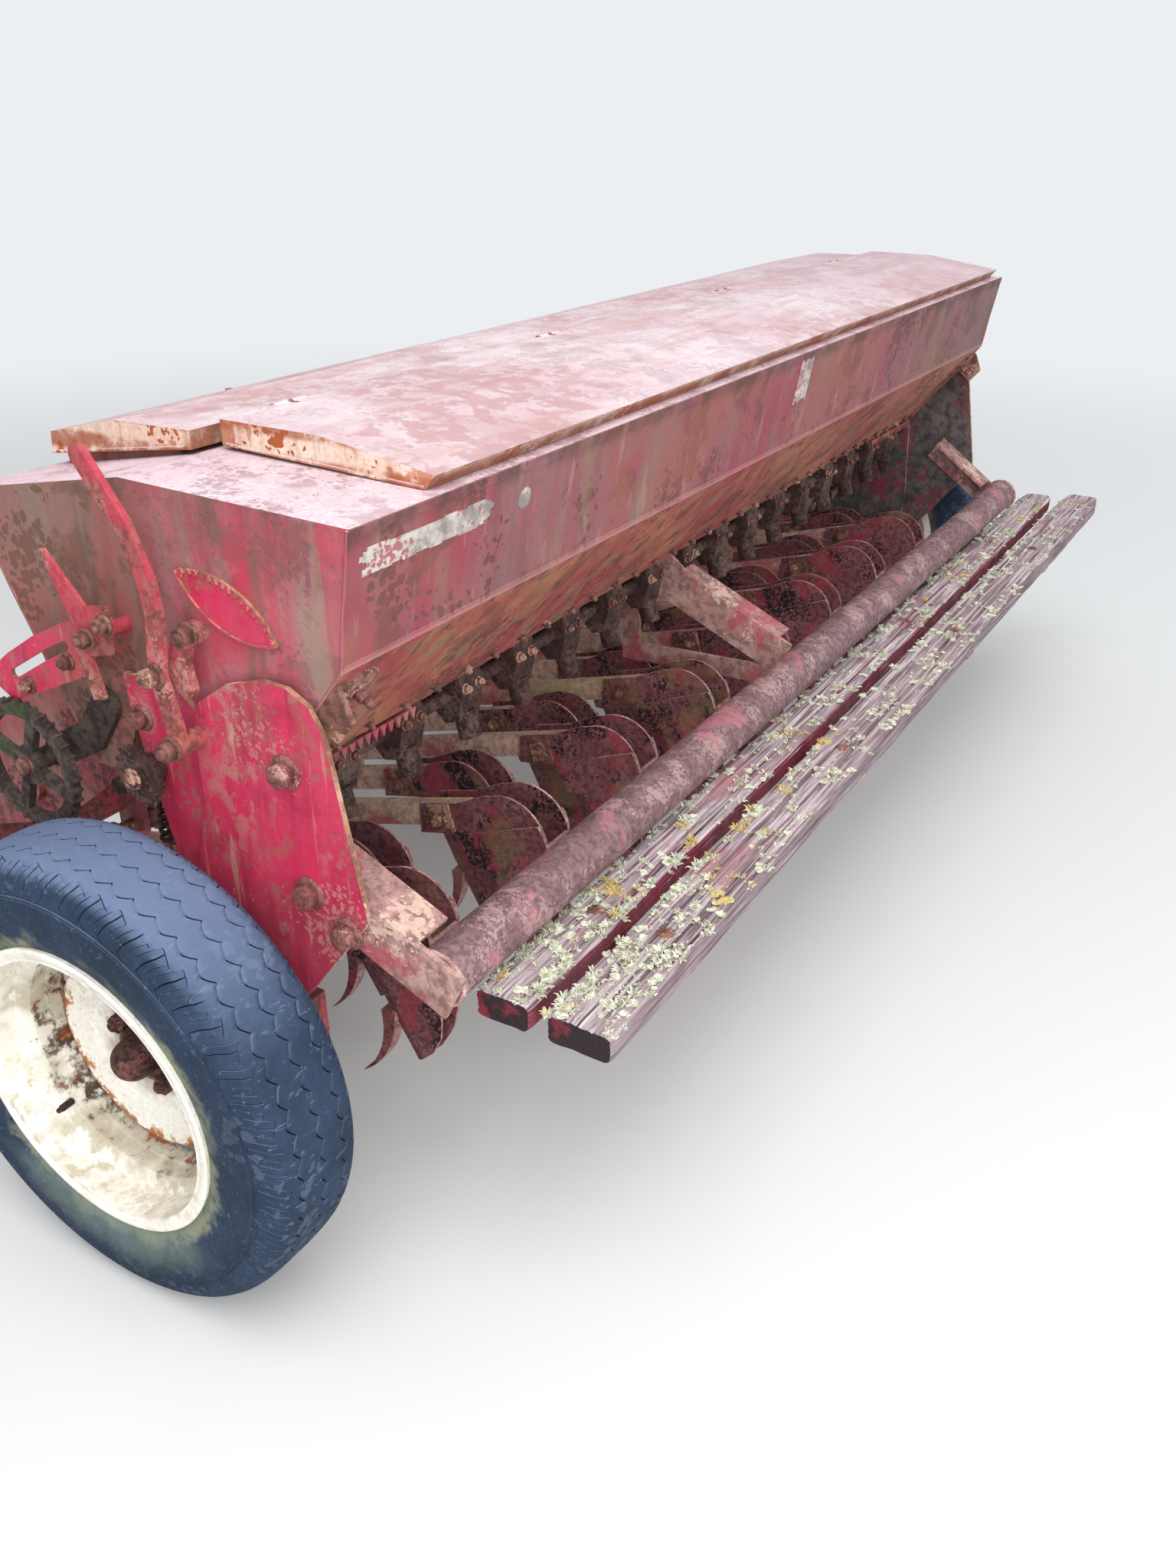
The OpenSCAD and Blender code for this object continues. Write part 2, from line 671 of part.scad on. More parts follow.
// Pressure springs round the rods, a stack of turns between the fork and the collar, as one turned section.
module springs() {
    ring_r = (spring_d - spring_wire) / 2;
    base = rod_foot + (rod_fork_l + seat_gap + spring_wire / 2) * rod_dir;
    lean = atan2(rod_dir[0], rod_dir[1]);
    bore_r = rod_d / 2 + seat_gap;
    color([0.36, 0.24, 0.2]) at_drill() for (x = all_runs)
        translate([x, base[0], base[1]]) rotate([-lean, 0, 0])
        rotate_extrude($fn = 32) {
            for (k = [0:spring_turns - 1])
                translate([ring_r, k * turn_pitch]) circle(d = spring_wire, $fn = 16);
            translate([bore_r, -spring_wire / 2]) square([ring_r - bore_r,
                turn_pitch * (spring_turns - 1) + spring_wire]);
        }
}

// Rockshaft with the lever of the lift cylinder.
lever_lean = 39;
lever_tip = rock + lift_lever * [sin(lever_lean), cos(lever_lean)];
lever_gap = 15 + 2;
module rockshaft() {
    shaft_half = post_x[3] + 22;
    color([0.52, 0.3, 0.27]) at_drill() {
        pin_x(rock, -shaft_half, shaft_half, rock_d);
        both_ends() along_x(lever_gap, lever_gap + 10) {
            bar_2d(rock, lever_tip, 44);
            translate(lever_tip) circle(d = 48);
            translate(rock) circle(d = rock_d + 30);
        }
        pin_x(lever_tip, -lever_gap - 1, lever_gap + 1, cyl_pin_d);
    }
}

// Fingers on the rockshaft, one beside each rod, with the pin of its eye.
module rock_fingers() {
    near_side = 9;
    far_side = near_side + 8;
    root = rock + (rock_d / 2 - 1) * unit(finger_tip - rock);
    color([0.5, 0.28, 0.25]) at_drill() for (x = all_runs) {
        difference() {
            along_x(x + near_side, x + far_side) {
                bar_2d(root, finger_tip, 26);
                translate(finger_tip) circle(d = 28);
            }
            pin_x(rock, x - 20, x + 20, rock_d);
        }
        pin_x(finger_tip, x - near_side, x + near_side + 1, rod_pin_d);
    }
}

// Lift cylinder: the barrel on the drawbar's cross plate, the rod's eye on the lever's pin.
cyl_foot = [1200, 487];
cyl_dir = unit(lever_tip - cyl_foot);
cyl_slack = 1.5;
function on_cylinder(s) = cyl_foot + s * cyl_dir;
module cylinder_barrel() {
    a = on_cylinder(16);
    b = on_cylinder(300);
    c = on_cylinder(66);
    d = on_cylinder(72);
    color([0.42, 0.2, 0.2]) at_drill() difference() {
        union() {
            pin_x(cyl_foot, -18, 18, cyl_pin_d + 22);
            strut([0, a[0], a[1]], [0, d[0], d[1]], 40);
            strut([0, c[0], c[1]], [0, b[0], b[1]], cyl_d);
        }
        pin_x(cyl_foot, -20, 20, cyl_pin_d + 2 * run_fit);
        strut([0, on_cylinder(90)[0], on_cylinder(90)[1]], [0, on_cylinder(320)[0], on_cylinder(320)[1]],
            cyl_rod_d + 2 * run_fit);
    }
}

module cylinder_rod() {
    a = on_cylinder(100);
    b = lever_tip - 20 * cyl_dir;
    color([0.6, 0.58, 0.55]) at_drill() difference() {
        union() {
            strut([0, a[0], a[1]], [0, b[0], b[1]], cyl_rod_d);
            pin_x(lever_tip, -15, 15, cyl_pin_d + 2 * cyl_slack + 18);
        }
        pin_x(lever_tip, -20, 20, cyl_pin_d + 2 * cyl_slack);
    }
}

// Drawbar: two rails that meet at the nose, a cross plate for the cylinder and a nose plate for the jack.
nose_y = hitch_y - 80;
rail_w = 80;
rail_foot_x = 660;
rail_top = drawbar_z + rail_h / 2;
cross_y = cyl_foot[0];
function rail_outer_x(y) = 95 + (rail_foot_x - 95) * (nose_y - y) / (nose_y - beam_y - beam);
module drawbar() {
    front = beam_y + beam;
    color([0.6, 0.2, 0.22]) at_drill() {
        difference() {
            union() {
                translate([0, 0, rail_top - rail_h]) linear_extrude(rail_h) difference() {
                    polygon([[-rail_foot_x, front], [rail_foot_x, front], [95, nose_y], [-95, nose_y]]);
                    polygon([[-rail_foot_x + rail_w + 10, front - 1], [rail_foot_x - rail_w - 10, front - 1],
                        [40, nose_y - 60], [-40, nose_y - 60]]);
                }
                cross_plate(cross_y, 60);
                cross_plate(jack_y, 70);
            }
            translate([0, jack_y, rail_top - 20]) cylinder(h = 60, d = jack_tube_d + 2 * run_fit);
        }
        both_ends() along_x(20, 32) {
            translate(cyl_foot) circle(d = 48);
            translate([cross_y - 24, rail_top]) square([48, cyl_foot[1] - rail_top]);
        }
        pin_x(cyl_foot, -32, 32, cyl_pin_d);
    }
}

module cross_plate(y, half) {
    translate([0, 0, rail_top]) linear_extrude(10) polygon([[-rail_outer_x(y - half), y - half],
        [rail_outer_x(y - half), y - half], [rail_outer_x(y + half), y + half],
        [-rail_outer_x(y + half), y + half]]);
}

clevis_t = 16;
module hitch_clevis() {
    color([0.45, 0.2, 0.2]) at_drill() difference() {
        union() {
            translate([-60, nose_y, rail_top - rail_h]) cube([120, 18, rail_h]);
            for (z = [rail_top - rail_h, rail_top - clevis_t]) translate([0, 0, z]) {
                translate([0, hitch_y, 0]) cylinder(h = clevis_t, r = clevis_r);
                translate([-clevis_r, nose_y + 10, 0]) cube([2 * clevis_r, hitch_y - nose_y - 10, clevis_t]);
            }
        }
        translate([0, hitch_y, 0]) cylinder(h = 2 * drawbar_z, d = hitch_hole_d);
    }
}

// Screw jack through the nose plate, with its crank.
foot_t = 8;
module jack_tube() {
    low = rail_top - 120;
    top = rail_top + 365;
    color([0.45, 0.22, 0.2]) at_drill() translate([0, jack_y, 0]) {
        difference() {
            union() {
                translate([0, 0, low]) cylinder(h = top - low, d = jack_tube_d);
                translate([0, 0, rail_top + 10]) cylinder(h = 12, d = jack_tube_d + 40);
            }
            translate([0, 0, low - 1]) cylinder(h = top - low - 9, d = jack_leg_d + 2 * run_fit);
        }
        translate([0, 0, top]) cylinder(h = 24, d = 20);
        translate([-10, -130, top + 16]) cube([20, 140, 8]);
        translate([0, -120, top + 20]) cylinder(h = 90, d = 20);
    }
}

module jack_leg() {
    color([0.4, 0.36, 0.34]) at_drill() translate([0, jack_y, 0]) {
        cylinder(h = foot_t, d = 170);
        cylinder(h = 500, d = jack_leg_d);
    }
}

// Step pipe, its end brackets of angle iron and the bracket in the middle.
pipe = [-pipe_back, pipe_z];
bracket_foot_left = [110, 628];
bracket_tip_left = [-109, 529];
bracket_foot_right = [118, 652];
bracket_tip_right = [-84, 508];
module step_pipe() {
    color([0.45, 0.3, 0.3]) at_drill() difference() {
        pin_x(pipe, -hopper_half, hopper_half, pipe_d);
        pin_x(pipe, -hopper_half - 1, hopper_half + 1, pipe_d - 10);
    }
}

// An angle iron on the inside of the rear end plate; its top flange points inwards.
module end_bracket(foot, tip, w) {
    dir = unit(tip - foot);
    n = [-dir[1], dir[0]];
    up = -n * (w / 2 - 3.5);
    along_x(-hopper_half - plate_t, -hopper_half) bar_2d(foot, tip, w);
    along_x(-hopper_half - 1, -hopper_half + 60)
        bar_2d(foot + 4 * dir + up, foot + (norm(tip - foot) - 76) * dir + up, 7);
}

module step_end_brackets() {
    color([0.62, 0.34, 0.32]) at_drill() {
        end_bracket(bracket_foot_left, bracket_tip_left, 74);
        mirror([1, 0, 0]) end_bracket(bracket_foot_right, bracket_tip_right, 64);
    }
}

mid_x = -run_pitch;
module step_mid_bracket() {
    t = 8;
    color([0.45, 0.33, 0.3]) at_drill() difference() {
        union() {
            along_x(mid_x - t / 2, mid_x + t / 2) {
                polygon([[170, 640], [170, 706], [grain_floor_y + 2, grain_floor_z],
                    [grain_floor_y + 58, grain_floor_z],
                    [300, 690], [300, 494], [262, 494], [262, 620]]);
                bar_2d([190, 668], [-50, 560], 70);
                bar_2d([300, 513], [-60, 524], 38);
            }
            along_x(mid_x, mid_x + 50) bar_2d([176, 696], [-36, 601], 7);
        }
        pin_x(pipe, mid_x - 40, mid_x + 60, pipe_d + 2 * seat_gap);
        pin_x(grain_shaft, mid_x - 40, mid_x + 60, feed_shaft_d + 2 * seat_gap);
    }
}

// Planks: the inner one starts under the pipe's rear side, the outer one a gap behind it.
plank_inner_y = [-173, -93];
plank_outer_y = [-plank_back, -198];
plank_x = -hopper_half + plank_start;
module plank(y, l) {
    along_x(plank_x, plank_x + l) round_box_2d([y[0], plank_z - plank_t], [y[1], plank_z], 7);
}

module plank_inner() {
    color([0.5, 0.46, 0.44]) at_drill() plank(plank_inner_y, plank_l);
}

module plank_outer() {
    color([0.53, 0.49, 0.47]) at_drill() plank(plank_outer_y, plank_l + plank_extra);
}

plank_bracket_x = [-1000, -333, 333, 1000];
module plank_brackets() {
    seat_z = plank_z - plank_t;
    color([0.42, 0.28, 0.26]) at_drill() difference() {
        for (x = plank_bracket_x) {
            translate([x - 25, -plank_back + 6, seat_z - 8]) cube([50, plank_back - 46, 8]);
            along_x(x - 4, x + 4) polygon([[-46, seat_z - 4], [-40, seat_z + 40], [-58, pipe_z],
                [-88, pipe_z],
                [-88, seat_z - 4]]);
        }
        pin_x(pipe, -hopper_half, hopper_half, pipe_d + 2 * seat_gap);
    }
}

// Wheels, drawn for the left side: w runs outwards from the hopper's end, r from the axle.
module on_wheel() {
    translate([-hopper_half, axle_y, tyre_r]) rotate([0, -90, 0]) children();
}

tyre_mid = tyre_gap + tyre_w / 2;
rim_out = tyre_gap + 158;
rim_in_w = tyre_gap + 22;
bead_r = rim_r - 14.5;
rim_lip = 4;
module tyre() {
    half = tyre_w / 2;
    bead_in = rim_in_w + rim_lip + seat_gap - tyre_mid;
    bead_out = rim_out - rim_lip - seat_gap - tyre_mid;
    color([0.3, 0.34, 0.42]) on_wheel() translate([0, 0, tyre_mid]) rotate_extrude($fn = 96) difference() {
        intersection() {
            polygon([[bead_r, bead_in], [rim_r + 1, bead_in], [rim_r + 6, bead_in - 6],
                [bead_r + 40, -half + 6],
                [bead_r + 72, -half], [tyre_r - 40, -half + 3], [tyre_r - 12, -half + 10],
                [tyre_r - 2, -half + 22],
                [tyre_r, 0], [tyre_r - 2, half - 22], [tyre_r - 12, half - 10], [tyre_r - 40, half - 3],
                [bead_r + 72, half], [bead_r + 40, half - 6], [rim_r + 6, bead_out + 4],
                [rim_r + 1, bead_out],
                [bead_r, bead_out]]);
            translate([bead_r, -tyre_w]) square([tyre_r, 2 * tyre_w]);
        }
        translate([bead_r - 1, -half + 46]) square([tyre_r - bead_r - 28, tyre_w - 84]);
    }
}

// Rim: flanges, bead seats, well and a dished disc with a ring of vent slots, as one turned section.
disc_w = tyre_gap + 60;
disc_t = 5;
slots = 8;
module rim() {
    t = 4;
    well_r = bead_r - 22;
    well_in = rim_in_w + 25;
    well_out = rim_in_w + 72;
    slot_r = well_r - 19;
    color([0.88, 0.85, 0.76]) on_wheel() difference() {
        rotate_extrude($fn = 96) union() {
            polygon([[bead_r - t, rim_in_w], [rim_r, rim_in_w], [rim_r, rim_in_w + rim_lip],
                [bead_r, rim_in_w + rim_lip], [bead_r, well_in - 7], [well_r + t, well_in + 1],
                [well_r + t, well_out - 2], [bead_r, well_out + 12], [bead_r, rim_out - rim_lip],
                [rim_r, rim_out - rim_lip], [rim_r, rim_out], [bead_r - t, rim_out],
                [bead_r - t, well_out + 13],
                [well_r, well_out], [well_r, disc_w + 10], [well_r - disc_t, disc_w + 8],
                [well_r - 9, disc_w - 8], [slot_r - 4, disc_w - 4], [slot_r - 14, disc_w + 3],
                [100, disc_w + 3],
                [88, disc_w], [45, disc_w], [45, disc_w - disc_t], [90, disc_w - disc_t],
                [102, disc_w + 3 - disc_t],
                [slot_r - 15, disc_w + 3 - disc_t], [slot_r - 5, disc_w - 4 - disc_t],
                [well_r - 6, disc_w - 8 - disc_t], [well_r, disc_w - 4], [well_r, well_in],
                [bead_r - t, well_in - 8]]);
        }
        for (k = [0:slots - 1]) rotate(360 / slots * (k + 0.35)) translate([slot_r, 0, 0]) {
            for (s = [-1, 1]) translate([0, 16 * s, 0]) cylinder(h = 2 * tyre_w, d = 20);
            translate([-10, -16, 0]) cube([20, 32, 2 * tyre_w]);
        }
    }
}

// Hub with its flange behind the disc and a domed cap in front.
cap_d = 60;
module hub() {
    start = 2 * plate_t + 16;
    axle_end = 2 * plate_t + 90;
    cap_w = disc_w + 17;
    color([0.4, 0.2, 0.16]) on_wheel() difference() {
        union() {
            translate([0, 0, start]) cylinder(h = cap_w - start, d = cap_d);
            translate([0, 0, start]) cylinder(h = disc_w - 10 - start, d = 84);
            translate([0, 0, disc_w - disc_t - 12]) cylinder(h = 12, d = 150);
            translate([0, 0, cap_w]) intersection() {
                sphere(d = cap_d);
                cylinder(h = cap_d, d = cap_d + 2);
            }
        }
        translate([0, 0, start - 1]) cylinder(h = axle_end - start + 3, d = axle_d + 2 * run_fit);
    }
}

module tyre_left() {
    at_drill() tyre();
}

module tyre_right() {
    at_drill() mirror([1, 0, 0]) tyre();
}

module rim_left() {
    at_drill() rim();
}

module rim_right() {
    at_drill() mirror([1, 0, 0]) rim();
}

module hub_left() {
    at_drill() hub();
}

module hub_right() {
    at_drill() mirror([1, 0, 0]) hub();
}

// Controls on the left end.
lever_foot = [261, 802];
module hand_lever() {
    left = -hopper_half;
    color([0.62, 0.28, 0.26]) at_drill() {
        along_x(left - 52, left - 42) bent_bar_2d([[352, 1149], [298, 1074], [274, 1014], [268, 968],
            [280, 893], [266, 835], lever_foot], 24);
        pin_x(lever_foot, left - 60, left - 2 * plate_t, 28);
        along_x(left - 34, left - 18) bent_bar_2d([[250, 940], [262, 905], [256, 872]], 24);
        pin_x([250, 940], left - 18, left, 30);
    }
}

// Quadrant plate with a slot; its top edge is an arc about a point well below.
module rate_quadrant() {
    left = -hopper_half;
    color([0.72, 0.24, 0.3]) at_drill() {
        along_x(left - 46, left - 40) difference() {
            intersection() {
                polygon([[435, 960], [416, 860], [575, 790], [606, 808], [598, 880]]);
                translate([169, 260]) circle(r = 721);
            }
            bent_bar_2d([[447, 895], [489, 874], [563, 832]], 13);
        }
        for (p = [[446, 874], [535, 822]]) pin_x(p, left - 40, left, 18);
    }
}

module rate_pointer() {
    left = -hopper_half;
    color([0.66, 0.2, 0.28]) at_drill() {
        along_x(left - 56, left - 50) {
            polygon([[447, 1024], [441, 1026], [384, 962], [338, 970], [348, 906], [402, 894], [412, 940]]);
            bar_2d([410, 936], [386, 838], 22);
        }
        pin_x([379, 924], left - 62, left, 20);
    }
}

// Spoked drive gear on a stub, held by a strap bolted to the fertiliser box's end.
gear_mid = [560, 702];
module drive_gear() {
    left = -hopper_half;
    teeth = 36;
    r = 92;
    color([0.2, 0.18, 0.17]) at_drill() {
        along_x(left - 60, left - 48) translate(gear_mid) {
            difference() {
                union() {
                    circle(r);
                    for (k = [0:teeth - 1])
                        rotate(360 * k / teeth) polygon([[r - 2, -4], [r + 5, -1.5], [r + 5, 1.5],
                        [r - 2, 4]]);
                }
                circle(r - 18);
            }
            circle(28);
            for (k = [0:3]) rotate(20 + 90 * k) translate([20, -8]) square([r - 30, 16]);
        }
        pin_x(gear_mid, left - 63, left, 30);
        along_x(left - 10, left) bent_bar_2d([[440, 800], [480, 745], gear_mid], 46);
    }
}

// Blank lens-shaped plate with a raised edge.
badge_ends = [[273, 1012], [120, 945]];
module end_badge() {
    left = -hopper_half;
    half_l = norm(badge_ends[1] - badge_ends[0]) / 2;
    bow = 30;
    r = (half_l * half_l + bow * bow) / (2 * bow);
    turn = atan2(badge_ends[1][1] - badge_ends[0][1], badge_ends[1][0] - badge_ends[0][0]);
    color([0.7, 0.2, 0.26]) at_drill() {
        along_x(left - 5, left) translate((badge_ends[0] + badge_ends[1]) / 2) rotate(turn) intersection() {
            translate([0, r - bow]) circle(r);
            translate([0, bow - r]) circle(r);
        }
        along_x(left - 8, left - 4) translate((badge_ends[0] + badge_ends[1]) / 2)
            rotate(turn) intersection() {
            translate([0, r - bow]) circle(r);
            translate([0, bow - r]) difference() {
                circle(r);
                translate([0, 6]) circle(r - 8);
            }
        }
    }
}

frame();
end_plates();
axle_stubs();
hopper_posts();
drawbar();
hitch_clevis();
jack_tube();
jack_leg();
grain_box();
fertiliser_box();
grain_feeds();
fertiliser_feeds();
feed_shafts();
funnel_brackets();
grain_lid_hinges();
fertiliser_lid_hinges();
grain_lid();
fertiliser_lid();
step_pipe();
step_end_brackets();
step_mid_bracket();
plank_brackets();
plank_inner();
plank_outer();
pivot_bar();
arms_rear();
arms_front();
boots_rear();
boots_front();
lift_rods();
springs();
rockshaft();
rock_fingers();
cylinder_barrel();
cylinder_rod();
tyre_left();
tyre_right();
rim_left();
rim_right();
hub_left();
hub_right();
hand_lever();
rate_quadrant();
rate_pointer();
drive_gear();
end_badge();
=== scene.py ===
# %% [markdown]
# # An old seed drill, dressed for its portrait
#
# The frame that is loaded here holds every solid of the drill at its true size, in metres.
# The solids stay where they are. This lesson gives them paint, rust and timber, and adds what is too
# fine for the solids: tread on the tyres, bolts, coiled springs, worn planks and the lichen on them.

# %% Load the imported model
import math
import random

import bpy
import numpy as np
from mathutils import Matrix, Vector, noise


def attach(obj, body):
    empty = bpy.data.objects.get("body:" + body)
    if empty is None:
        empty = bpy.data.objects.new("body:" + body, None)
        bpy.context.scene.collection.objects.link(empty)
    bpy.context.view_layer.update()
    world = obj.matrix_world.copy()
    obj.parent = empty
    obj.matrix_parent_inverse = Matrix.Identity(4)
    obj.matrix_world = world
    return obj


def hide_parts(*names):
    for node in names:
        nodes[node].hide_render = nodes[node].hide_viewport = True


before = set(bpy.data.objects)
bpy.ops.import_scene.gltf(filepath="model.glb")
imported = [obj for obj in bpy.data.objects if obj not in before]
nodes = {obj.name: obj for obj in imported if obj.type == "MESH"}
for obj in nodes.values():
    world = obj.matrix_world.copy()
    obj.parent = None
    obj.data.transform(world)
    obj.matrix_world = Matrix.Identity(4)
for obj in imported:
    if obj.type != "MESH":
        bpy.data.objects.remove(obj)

# Without a seed of its own, noise_vector would follow the clock.
noise.seed_set(7)
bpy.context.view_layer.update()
bpy.ops.object.select_all(action="DESELECT")

# %% [markdown]
# The drill was measured along its hopper from the left end, forward from the hopper's rear top edge and
# up from the ground, in millimetres. One helper turns such a place into the frame's metres, so every
# number below can be read off the machine itself.

# %% Places on the drill
HOPPER_L = 2590
LEFT_END = -1322.5
Y_SHIFT = -875


def spot(along, y, z):
    return Vector(((along + LEFT_END) / 1000, (y + Y_SHIFT) / 1000, z / 1000))


def seen_colour(code):
    """The linear colour of a screen colour written as rrggbb."""
    parts = [int(code[i:i + 2], 16) / 255 for i in (0, 2, 4)]
    return tuple(p / 12.92 if p < 0.04045 else ((p + 0.055) / 1.055) ** 2.4 for p in parts) + (1.0,)


print("left end of the hopper:", spot(0, 0, 1102))

# %% [markdown]
# The camera comes first, because the looks are judged through it. Its place and angle were found by
# fitting straight edges and the wheel's circles of the drill to the picture: a hand-held view from
# behind the left end, looking down along the footboard.

# %% Camera
IMAGE_W = 1536
FOCAL_PIXELS = 1693
bpy.ops.object.camera_add(location=(-2.3475, -1.779, 1.505),
                          rotation=(math.radians(62.2), 0, math.radians(-59.3)))
camera = bpy.context.object
camera.name = "viewpoint"
camera.data.sensor_fit = "HORIZONTAL"
camera.data.sensor_width = 36
camera.data.lens = FOCAL_PIXELS / IMAGE_W * 36
bpy.context.scene.camera = camera
bpy.context.scene.view_settings.view_transform = "Standard"
print("lens:", round(camera.data.lens, 2), "mm")

# %% [markdown]
# A plain pale floor and soft light let the paint speak. One large lamp stands high behind the left
# shoulder as an overcast sky would, a weaker one fills the shadows under the hopper, and the world adds
# an even glow. A low, weak lamp by the footboard reaches the arms and boots. The floor looks pale to the
# camera, keeps the drill's shadow and fades into the backdrop further out, so that no horizon shows.

# %% Floor and light
bpy.ops.mesh.primitive_plane_add(size=60, location=(0, 0, 0))
floor = bpy.context.object
floor.name = "floor"


def area_lamp(name, location, aim, size, power, tint):
    bpy.ops.object.light_add(type="AREA", location=location)
    lamp = bpy.context.object
    lamp.name = name
    lamp.data.size = size
    lamp.data.energy = power
    lamp.data.color = tint
    lamp.rotation_euler = (Vector(aim) - Vector(location)).to_track_quat("-Z", "Y").to_euler()


area_lamp("sky_lamp", (-3.2, -2.6, 6.0), (0, -0.3, 0.6), 5.5, 350, (1, 0.985, 0.965))
area_lamp("fill_lamp", (3.5, -4.5, 2.0), (0, -0.5, 0.5), 4.0, 80, (0.92, 0.96, 1))
area_lamp("low_lamp", (-2.5, -3.0, 0.8), (0, -0.4, 0.4), 3.0, 75, (1, 0.985, 0.96))
BACKDROP = (0.84, 0.86, 0.88, 1)
world = bpy.data.worlds.new("pale_sky")
bpy.context.scene.world = world
world.use_nodes = True
sky = world.node_tree.nodes["Background"]
sky.inputs["Color"].default_value = (0.96, 0.98, 1, 1)
sky.inputs["Strength"].default_value = 0.72
backdrop = world.node_tree.nodes.new("ShaderNodeBackground")
backdrop.inputs["Color"].default_value = BACKDROP
seen_directly = world.node_tree.nodes.new("ShaderNodeLightPath")
chooser = world.node_tree.nodes.new("ShaderNodeMixShader")
links = world.node_tree.links
links.new(seen_directly.outputs["Is Camera Ray"], chooser.inputs[0])
links.new(sky.outputs[0], chooser.inputs[1])
links.new(backdrop.outputs[0], chooser.inputs[2])
links.new(chooser.outputs[0], world.node_tree.nodes["World Output"].inputs["Surface"])

# %% [markdown]
# Materials are node trees. A small helper class adds a node, fills its sockets and links whatever is
# itself a socket, so a tree reads like a recipe from top to bottom. It knows the place and the normal
# that the tree starts from, and it calls the shared effects that are built below.

# %% A helper for node trees


class Recipe:
    """Adds nodes to a tree, each a step to the right of the last."""

    def __init__(self, tree):
        self.tree = tree
        self.step = 0
        self.vector = None
        self.normal = None

    def add(self, kind, values=None, out=0, **settings):
        made = self.tree.nodes.new("ShaderNode" + kind)
        made.location = (self.step % 12 * 190, -(self.step // 12) * 320)
        self.step += 1
        for key, value in settings.items():
            setattr(made, key, value)
        for key, value in (values or {}).items():
            self.join(value, made.inputs[key])
        if isinstance(out, list):
            return [made.outputs[name] for name in out]
        return made.outputs[out]

    def join(self, value, socket):
        if isinstance(value, bpy.types.NodeSocket):
            self.tree.links.new(value, socket)
        else:
            socket.default_value = value

    def mix(self, factor, a, b):
        return self.add("Mix", {0: factor, 6: a, 7: b}, out=2, data_type="RGBA")

    def calc(self, operation, a, b=0.0, clamp=False):
        return self.add("Math", {0: a, 1: b}, operation=operation, use_clamp=clamp)

    def times(self, a, b, clamp=False):
        return self.calc("MULTIPLY", a, b, clamp)

    def axis(self, which, of=None):
        return self.add("SeparateXYZ", {"Vector": of or self.vector}, out=which)

    def span(self, value, low, high, to_low=0.0, to_high=1.0):
        return self.add("MapRange", {"Value": value, "From Min": low, "From Max": high,
                                     "To Min": to_low, "To Max": to_high}, interpolation_type="SMOOTHSTEP")

    def noise(self, scale, detail=6.0, rough=0.6, distortion=0.0, at=None):
        return self.add("TexNoise", {"Vector": at or self.vector, "Scale": scale, "Detail": detail,
                                     "Roughness": rough, "Distortion": distortion})

    def band(self, value, *edges):
        """Rises from the first edge to the second, and falls from the third to the fourth."""
        rising = self.span(value, *edges[:2])
        return self.times(rising, self.span(value, *edges[2:], 1.0, 0.0))

    def heights(self, low, high, soft):
        """One between two heights in metres, nothing above or below."""
        return self.band(self.axis(2), low - soft, low + soft, high - soft, high + soft)

    def cloud(self, scale, detail, rough, *limits):
        return self.span(self.noise(scale, detail, rough), *limits)

    def stretch(self, scale):
        return self.add("Mapping", {"Vector": self.vector, "Scale": scale})

    def effect(self, tree, values, out="Mask"):
        return self.add("Group", values, out, node_tree=tree)

    def patches(self, scale, low, high, at=None):
        return self.effect(PATCHES, {"Vector": at or self.vector, "Scale": scale, "Low": low, "High": high})

    def runs(self, scale, low, high):
        return self.effect(RUNS, {"Vector": self.vector, "Scale": scale, "Low": low, "High": high})

    def chips(self, scale, amount):
        return self.effect(CHIPS, {"Vector": self.vector, "Scale": scale, "Amount": amount})

    def faces(self, axis, low, high, out="Along"):
        return self.effect(FACING, {"Normal": self.normal, "Axis": axis, "Low": low, "High": high}, out)

    def finish(self, tree, shades, amounts, scale):
        """An effect whose four colours come first, as one string; puts out colour, roughness and height."""
        colours = {1 + i: seen_colour(code) for i, code in enumerate(shades.split())}
        values = {"Vector": self.vector, "Scale": scale, **colours, **amounts}
        return self.effect(tree, values, ["Colour", "Roughness", "Height"])

    def aged(self, shades, fade, rusting, running, scale=1.0):
        """Aged paint in the shades fresh, faded, rust and grime."""
        return self.finish(AGED_PAINT, shades, {"Fade": fade, "Rusting": rusting, "Running": running}, scale)

    def rusted(self, shades, scale=1.0):
        """Rusted steel in the shades dark, body, bloom and fleck."""
        return self.finish(RUST_SKIN, shades, {}, scale)

    def lay(self, below, code, mask, share=None, clamp=False):
        """A screen colour laid over another colour through a mask, or through a share of it."""
        if share is not None:
            mask = self.times(mask, share, clamp)
        return self.mix(mask, below, seen_colour(code))


SOCKETS = {"vector": "NodeSocketVector", "colour": "NodeSocketColor", "number": "NodeSocketFloat"}
MASK = [("Mask", "number")]
SURFACE = [("Colour", "colour"), ("Roughness", "number"), ("Height", "number")]


def new_effect(name, inputs, outputs):
    """A node group with named sockets; inputs are (name, kind, default)."""
    tree = bpy.data.node_groups.new(name, "ShaderNodeTree")
    for label, kind, default in inputs:
        socket = tree.interface.new_socket(name=label, in_out="INPUT", socket_type=SOCKETS[kind])
        if default is not None:
            socket.default_value = default
    for label, kind in outputs:
        tree.interface.new_socket(name=label, in_out="OUTPUT", socket_type=SOCKETS[kind])
    recipe = Recipe(tree)
    given = tree.nodes.new("NodeGroupInput")
    given.location = (-300, 0)
    recipe.vector = given.outputs.get("Vector")
    result = tree.nodes.new("NodeGroupOutput")
    result.location = (2500, 0)
    return recipe, given.outputs, result.inputs


print("helpers ready")

